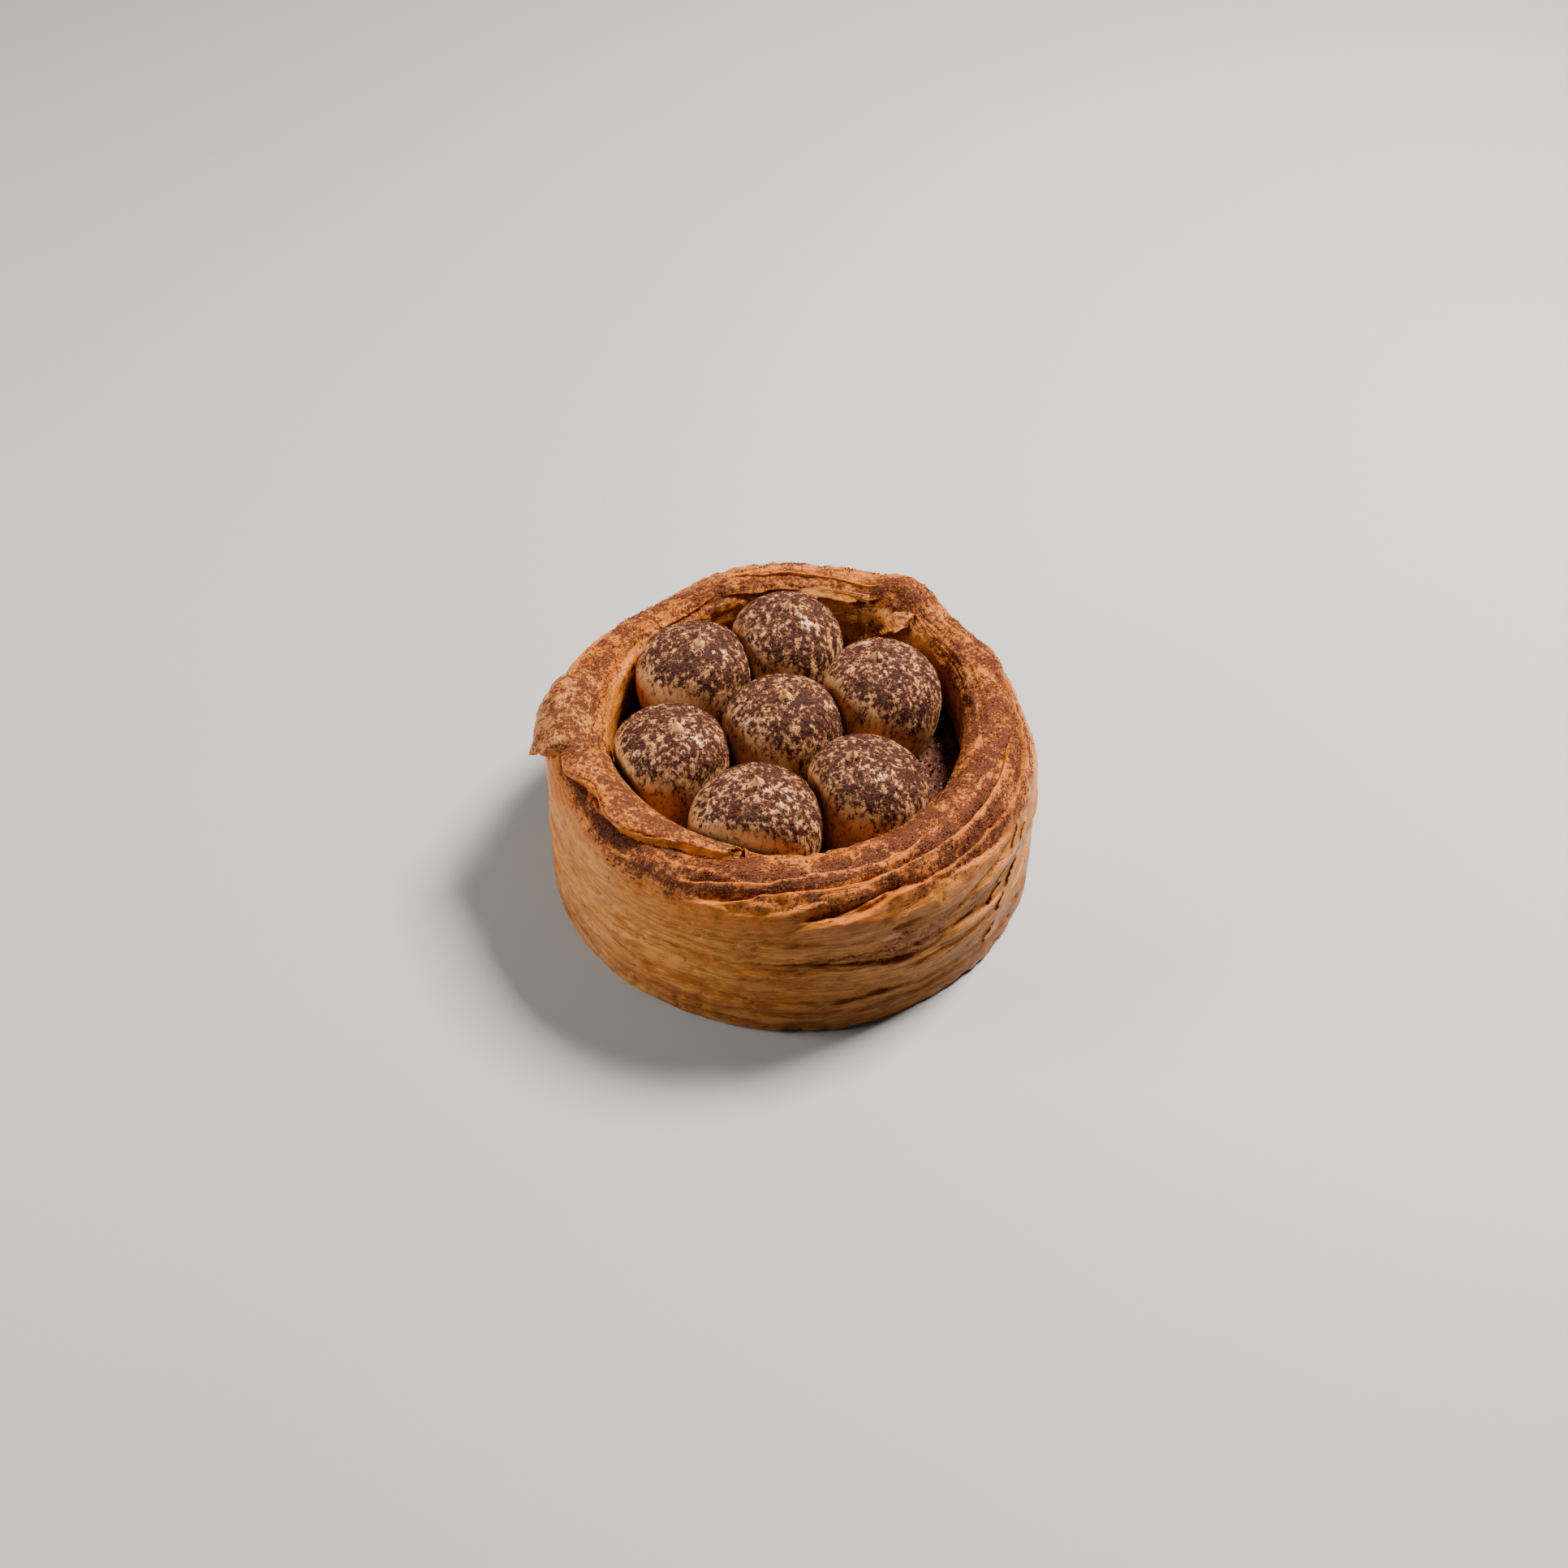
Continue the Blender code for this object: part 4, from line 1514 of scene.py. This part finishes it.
@dataclass(frozen=True)
class Filling:
    """The filling, dusted and clumpy where it shows between the domes."""

    form: CaseForm
    gap: float = 0.15
    columns: int = 240
    rings: int = 70

    def build(self, finish: Finish) -> Surface:
        """Makes the filling as a drum whose top is raised into clumps by noise.

        Args:
            finish: the filling's material.

        Returns:
            The drum's surface, with dust on its top alone.
        """
        form = self.form
        edge = form.opening - self.gap
        bottom = form.floor_thickness + form.clearance
        radius = np.concatenate(([edge * 0.98, edge], edge * (1.0 - np.linspace(0.0, 0.98, self.rings))))
        height = np.concatenate(([bottom, bottom + 0.4], np.full(self.rings, form.filling_height)))
        angle = 2 * math.pi * np.arange(self.columns) / self.columns
        cx, cy = form.opening_centre()
        x = cx + radius[:, None] * np.cos(angle)
        y = cy + radius[:, None] * np.sin(angle)
        points = np.stack((x, y, np.broadcast_to(height[:, None], x.shape)), axis=-1)
        clumps = Noise(500).layered(points / 1.7, 3, 0.7)
        top = points[..., 2] > form.filling_height - 1.0
        points[..., 2] += np.where(top, 0.3 + 1.0 * np.abs(clumps), 0.0)
        Shape.turned(points, {}).put("filling_dusted", finish, "filling", "filling")
        return Surface(points, *normals_of(points, closed=True), np.where(top, 1.0, 0.0))


@dataclass(frozen=True)
class Grains:
    """Loose grains strewn where dust is thick: small crooked double pyramids."""

    name: str
    slot: str
    count: int
    small: float
    large: float
    threshold: float
    seed: int

    def build(self, surfaces: list[Surface], finish: Finish) -> None:
        """Makes the grains as one mesh.

        A point is drawn with a chance in proportion to its area and to its dust above the
        threshold. A grain there is three axes at random, each its own length, with a corner at
        both ends of each axis.

        Args:
            surfaces: what to strew over.
            finish: the grains' material.
        """
        rng = np.random.default_rng(self.seed)
        points, normal, area, dust = (
            np.concatenate([grid.reshape(-1, *grid.shape[2:]) for grid in grids]) for grids in zip(*surfaces)
        )
        chance = area * np.maximum(dust - self.threshold, 0.0) * (normal[:, 2] > -0.1)
        chosen = rng.choice(len(points), size=self.count, p=chance / chance.sum())
        size = self.small + (self.large - self.small) * rng.random(self.count) ** 3
        first = rng.normal(size=(self.count, 3))
        second = np.cross(first, rng.normal(size=(self.count, 3)))
        axes = np.stack((first, second, np.cross(first, second)), axis=1)
        axes /= np.linalg.norm(axes, axis=-1, keepdims=True)
        axes *= size[:, None, None] * rng.uniform(0.55, 1.0, size=(self.count, 3, 1))
        centre = points[chosen] + normal[chosen] * (0.35 * size)[:, None]
        centre = centre + rng.normal(scale=0.18, size=centre.shape) * (1.0 - np.abs(normal[chosen]))
        corners = centre[:, None, :] + np.concatenate((axes, -axes), axis=1)
        upper = ((0, 1, 2), (1, 3, 2), (3, 4, 2), (4, 0, 2))
        lower = ((1, 0, 5), (3, 1, 5), (4, 3, 5), (0, 4, 5))
        eighths = np.array(upper + lower)
        faces = (np.arange(self.count)[:, None, None] * 6 + eighths).reshape(-1, 3)
        Shape(corners.reshape(-1, 3), [faces], {}).put(self.name, finish, self.slot)


# ---------------------------------------------------------------- the studio


@dataclass(frozen=True)
class Studio:
    """Plain pale floor, soft light and the camera."""

    camera_place: tuple[float, float, float] = (-1.31, -276.6, 319.5)
    camera_down: float = 47.61
    lens: float = 48.45
    key_direction: tuple[float, float, float] = (0.445, 0.305, 0.843)
    key_distance: float = 620.0
    key_size: float = 180.0
    key_power: float = 16.0
    side_place: tuple[float, float, float] = (-560.0, -50.0, 250.0)
    side_size: float = 260.0
    side_power: float = 4.9
    sky: float = 0.075
    sky_colour: tuple[float, float, float, float] = (0.95, 0.97, 1.0, 1.0)
    floor_half: float = 3.0  # metres
    floor_colour: Colour = (0.33, 0.323, 0.314)

    def lamp(self, name: str, place: Array, size: float, power: float, colour: Colour) -> None:
        """Adds a square lamp that faces the tart.

        Args:
            name: the lamp's name.
            place: where it stands, in mm.
            size: its side in mm.
            power: watts.
            colour: colour of its light.
        """
        light = bpy.data.lights.new(name, "AREA")
        light.size, light.energy, light.color = size * MM, power, colour
        lamp = bpy.data.objects.new(name, light)
        x, y, z = place
        lamp.location = [float(value) * MM for value in place]
        lamp.rotation_euler = (math.atan2(math.hypot(x, y), z - 20.0), 0.0, math.atan2(x, -y))
        bpy.context.scene.collection.objects.link(lamp)

    def build(self) -> None:
        """Adds the floor, lights, background and camera."""
        mesh = bpy.data.meshes.new("floor")
        signs = ((-1, -1), (1, -1), (1, 1), (-1, 1))
        corners = [(self.floor_half * x, self.floor_half * y, 0) for x, y in signs]
        mesh.from_pydata(corners, [], [(0, 1, 2, 3)])
        bench = Bench("floor_paint")
        tone = bench.noise(bench.place(), 14.0, 3.0, 0.5)
        deeper = tuple(0.965 * value for value in self.floor_colour)
        colour = bench.blend(tone, self.floor_colour, deeper)
        mesh.materials.append(bench.dress({"Base Color": colour, "Roughness": 0.7}))
        floor = bpy.data.objects.new("floor", mesh)
        bpy.context.scene.collection.objects.link(floor)
        key = np.array(self.key_direction) * self.key_distance
        self.lamp("key_lamp", key, self.key_size, self.key_power, (1.0, 0.965, 0.92))
        self.lamp("side_lamp", np.array(self.side_place), self.side_size, self.side_power, (1.0, 0.97, 0.94))
        world = bpy.data.worlds.new("studio")
        world.use_nodes = True
        background = world.node_tree.nodes["Background"].inputs
        background["Color"].default_value, background["Strength"].default_value = self.sky_colour, self.sky
        bpy.context.scene.world = world
        camera = bpy.data.objects.new("camera", bpy.data.cameras.new("camera"))
        camera.data.lens, camera.data.sensor_width = self.lens, 36.0
        camera.data.clip_start = 0.01
        camera.location = [value * MM for value in self.camera_place]
        camera.rotation_euler = (math.radians(90.0 - self.camera_down), 0.0, 0.0)
        bpy.context.scene.collection.objects.link(camera)
        bpy.context.scene.camera = camera


def main() -> None:
    """Builds the tart and the studio."""
    logging.basicConfig(level=logging.INFO, format="%(message)s")
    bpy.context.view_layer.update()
    form, dusting = CaseForm(), Dusting()
    dough = BakedDough().material()
    crust = PastryCase(form, dusting).build(dough)
    for leaf in LEAVES:
        leaf.build(form, dusting, dough)
    domes = CreamDomes(form).build(CoffeeCream().material())
    filling = Filling(form).build(DampCocoa().material())
    dry = LooseGrain("dry_cocoa", (0.070, 0.015, 0.005), (0.190, 0.048, 0.014)).material()
    moist = LooseGrain("moist_cocoa", (0.020, 0.005, 0.003), (0.080, 0.019, 0.009)).material()
    Grains("cocoa_on_crust", "pastry", 12000, 0.09, 0.26, 0.35, 601).build([crust], dry)
    Grains("cocoa_on_cream", "cream", 12000, 0.08, 0.24, 0.40, 602).build(domes, moist)
    Grains("cocoa_on_filling", "filling", 6000, 0.15, 0.60, 0.5, 603).build([filling], moist)
    Studio().build()


if __name__ == "__main__":
    main()
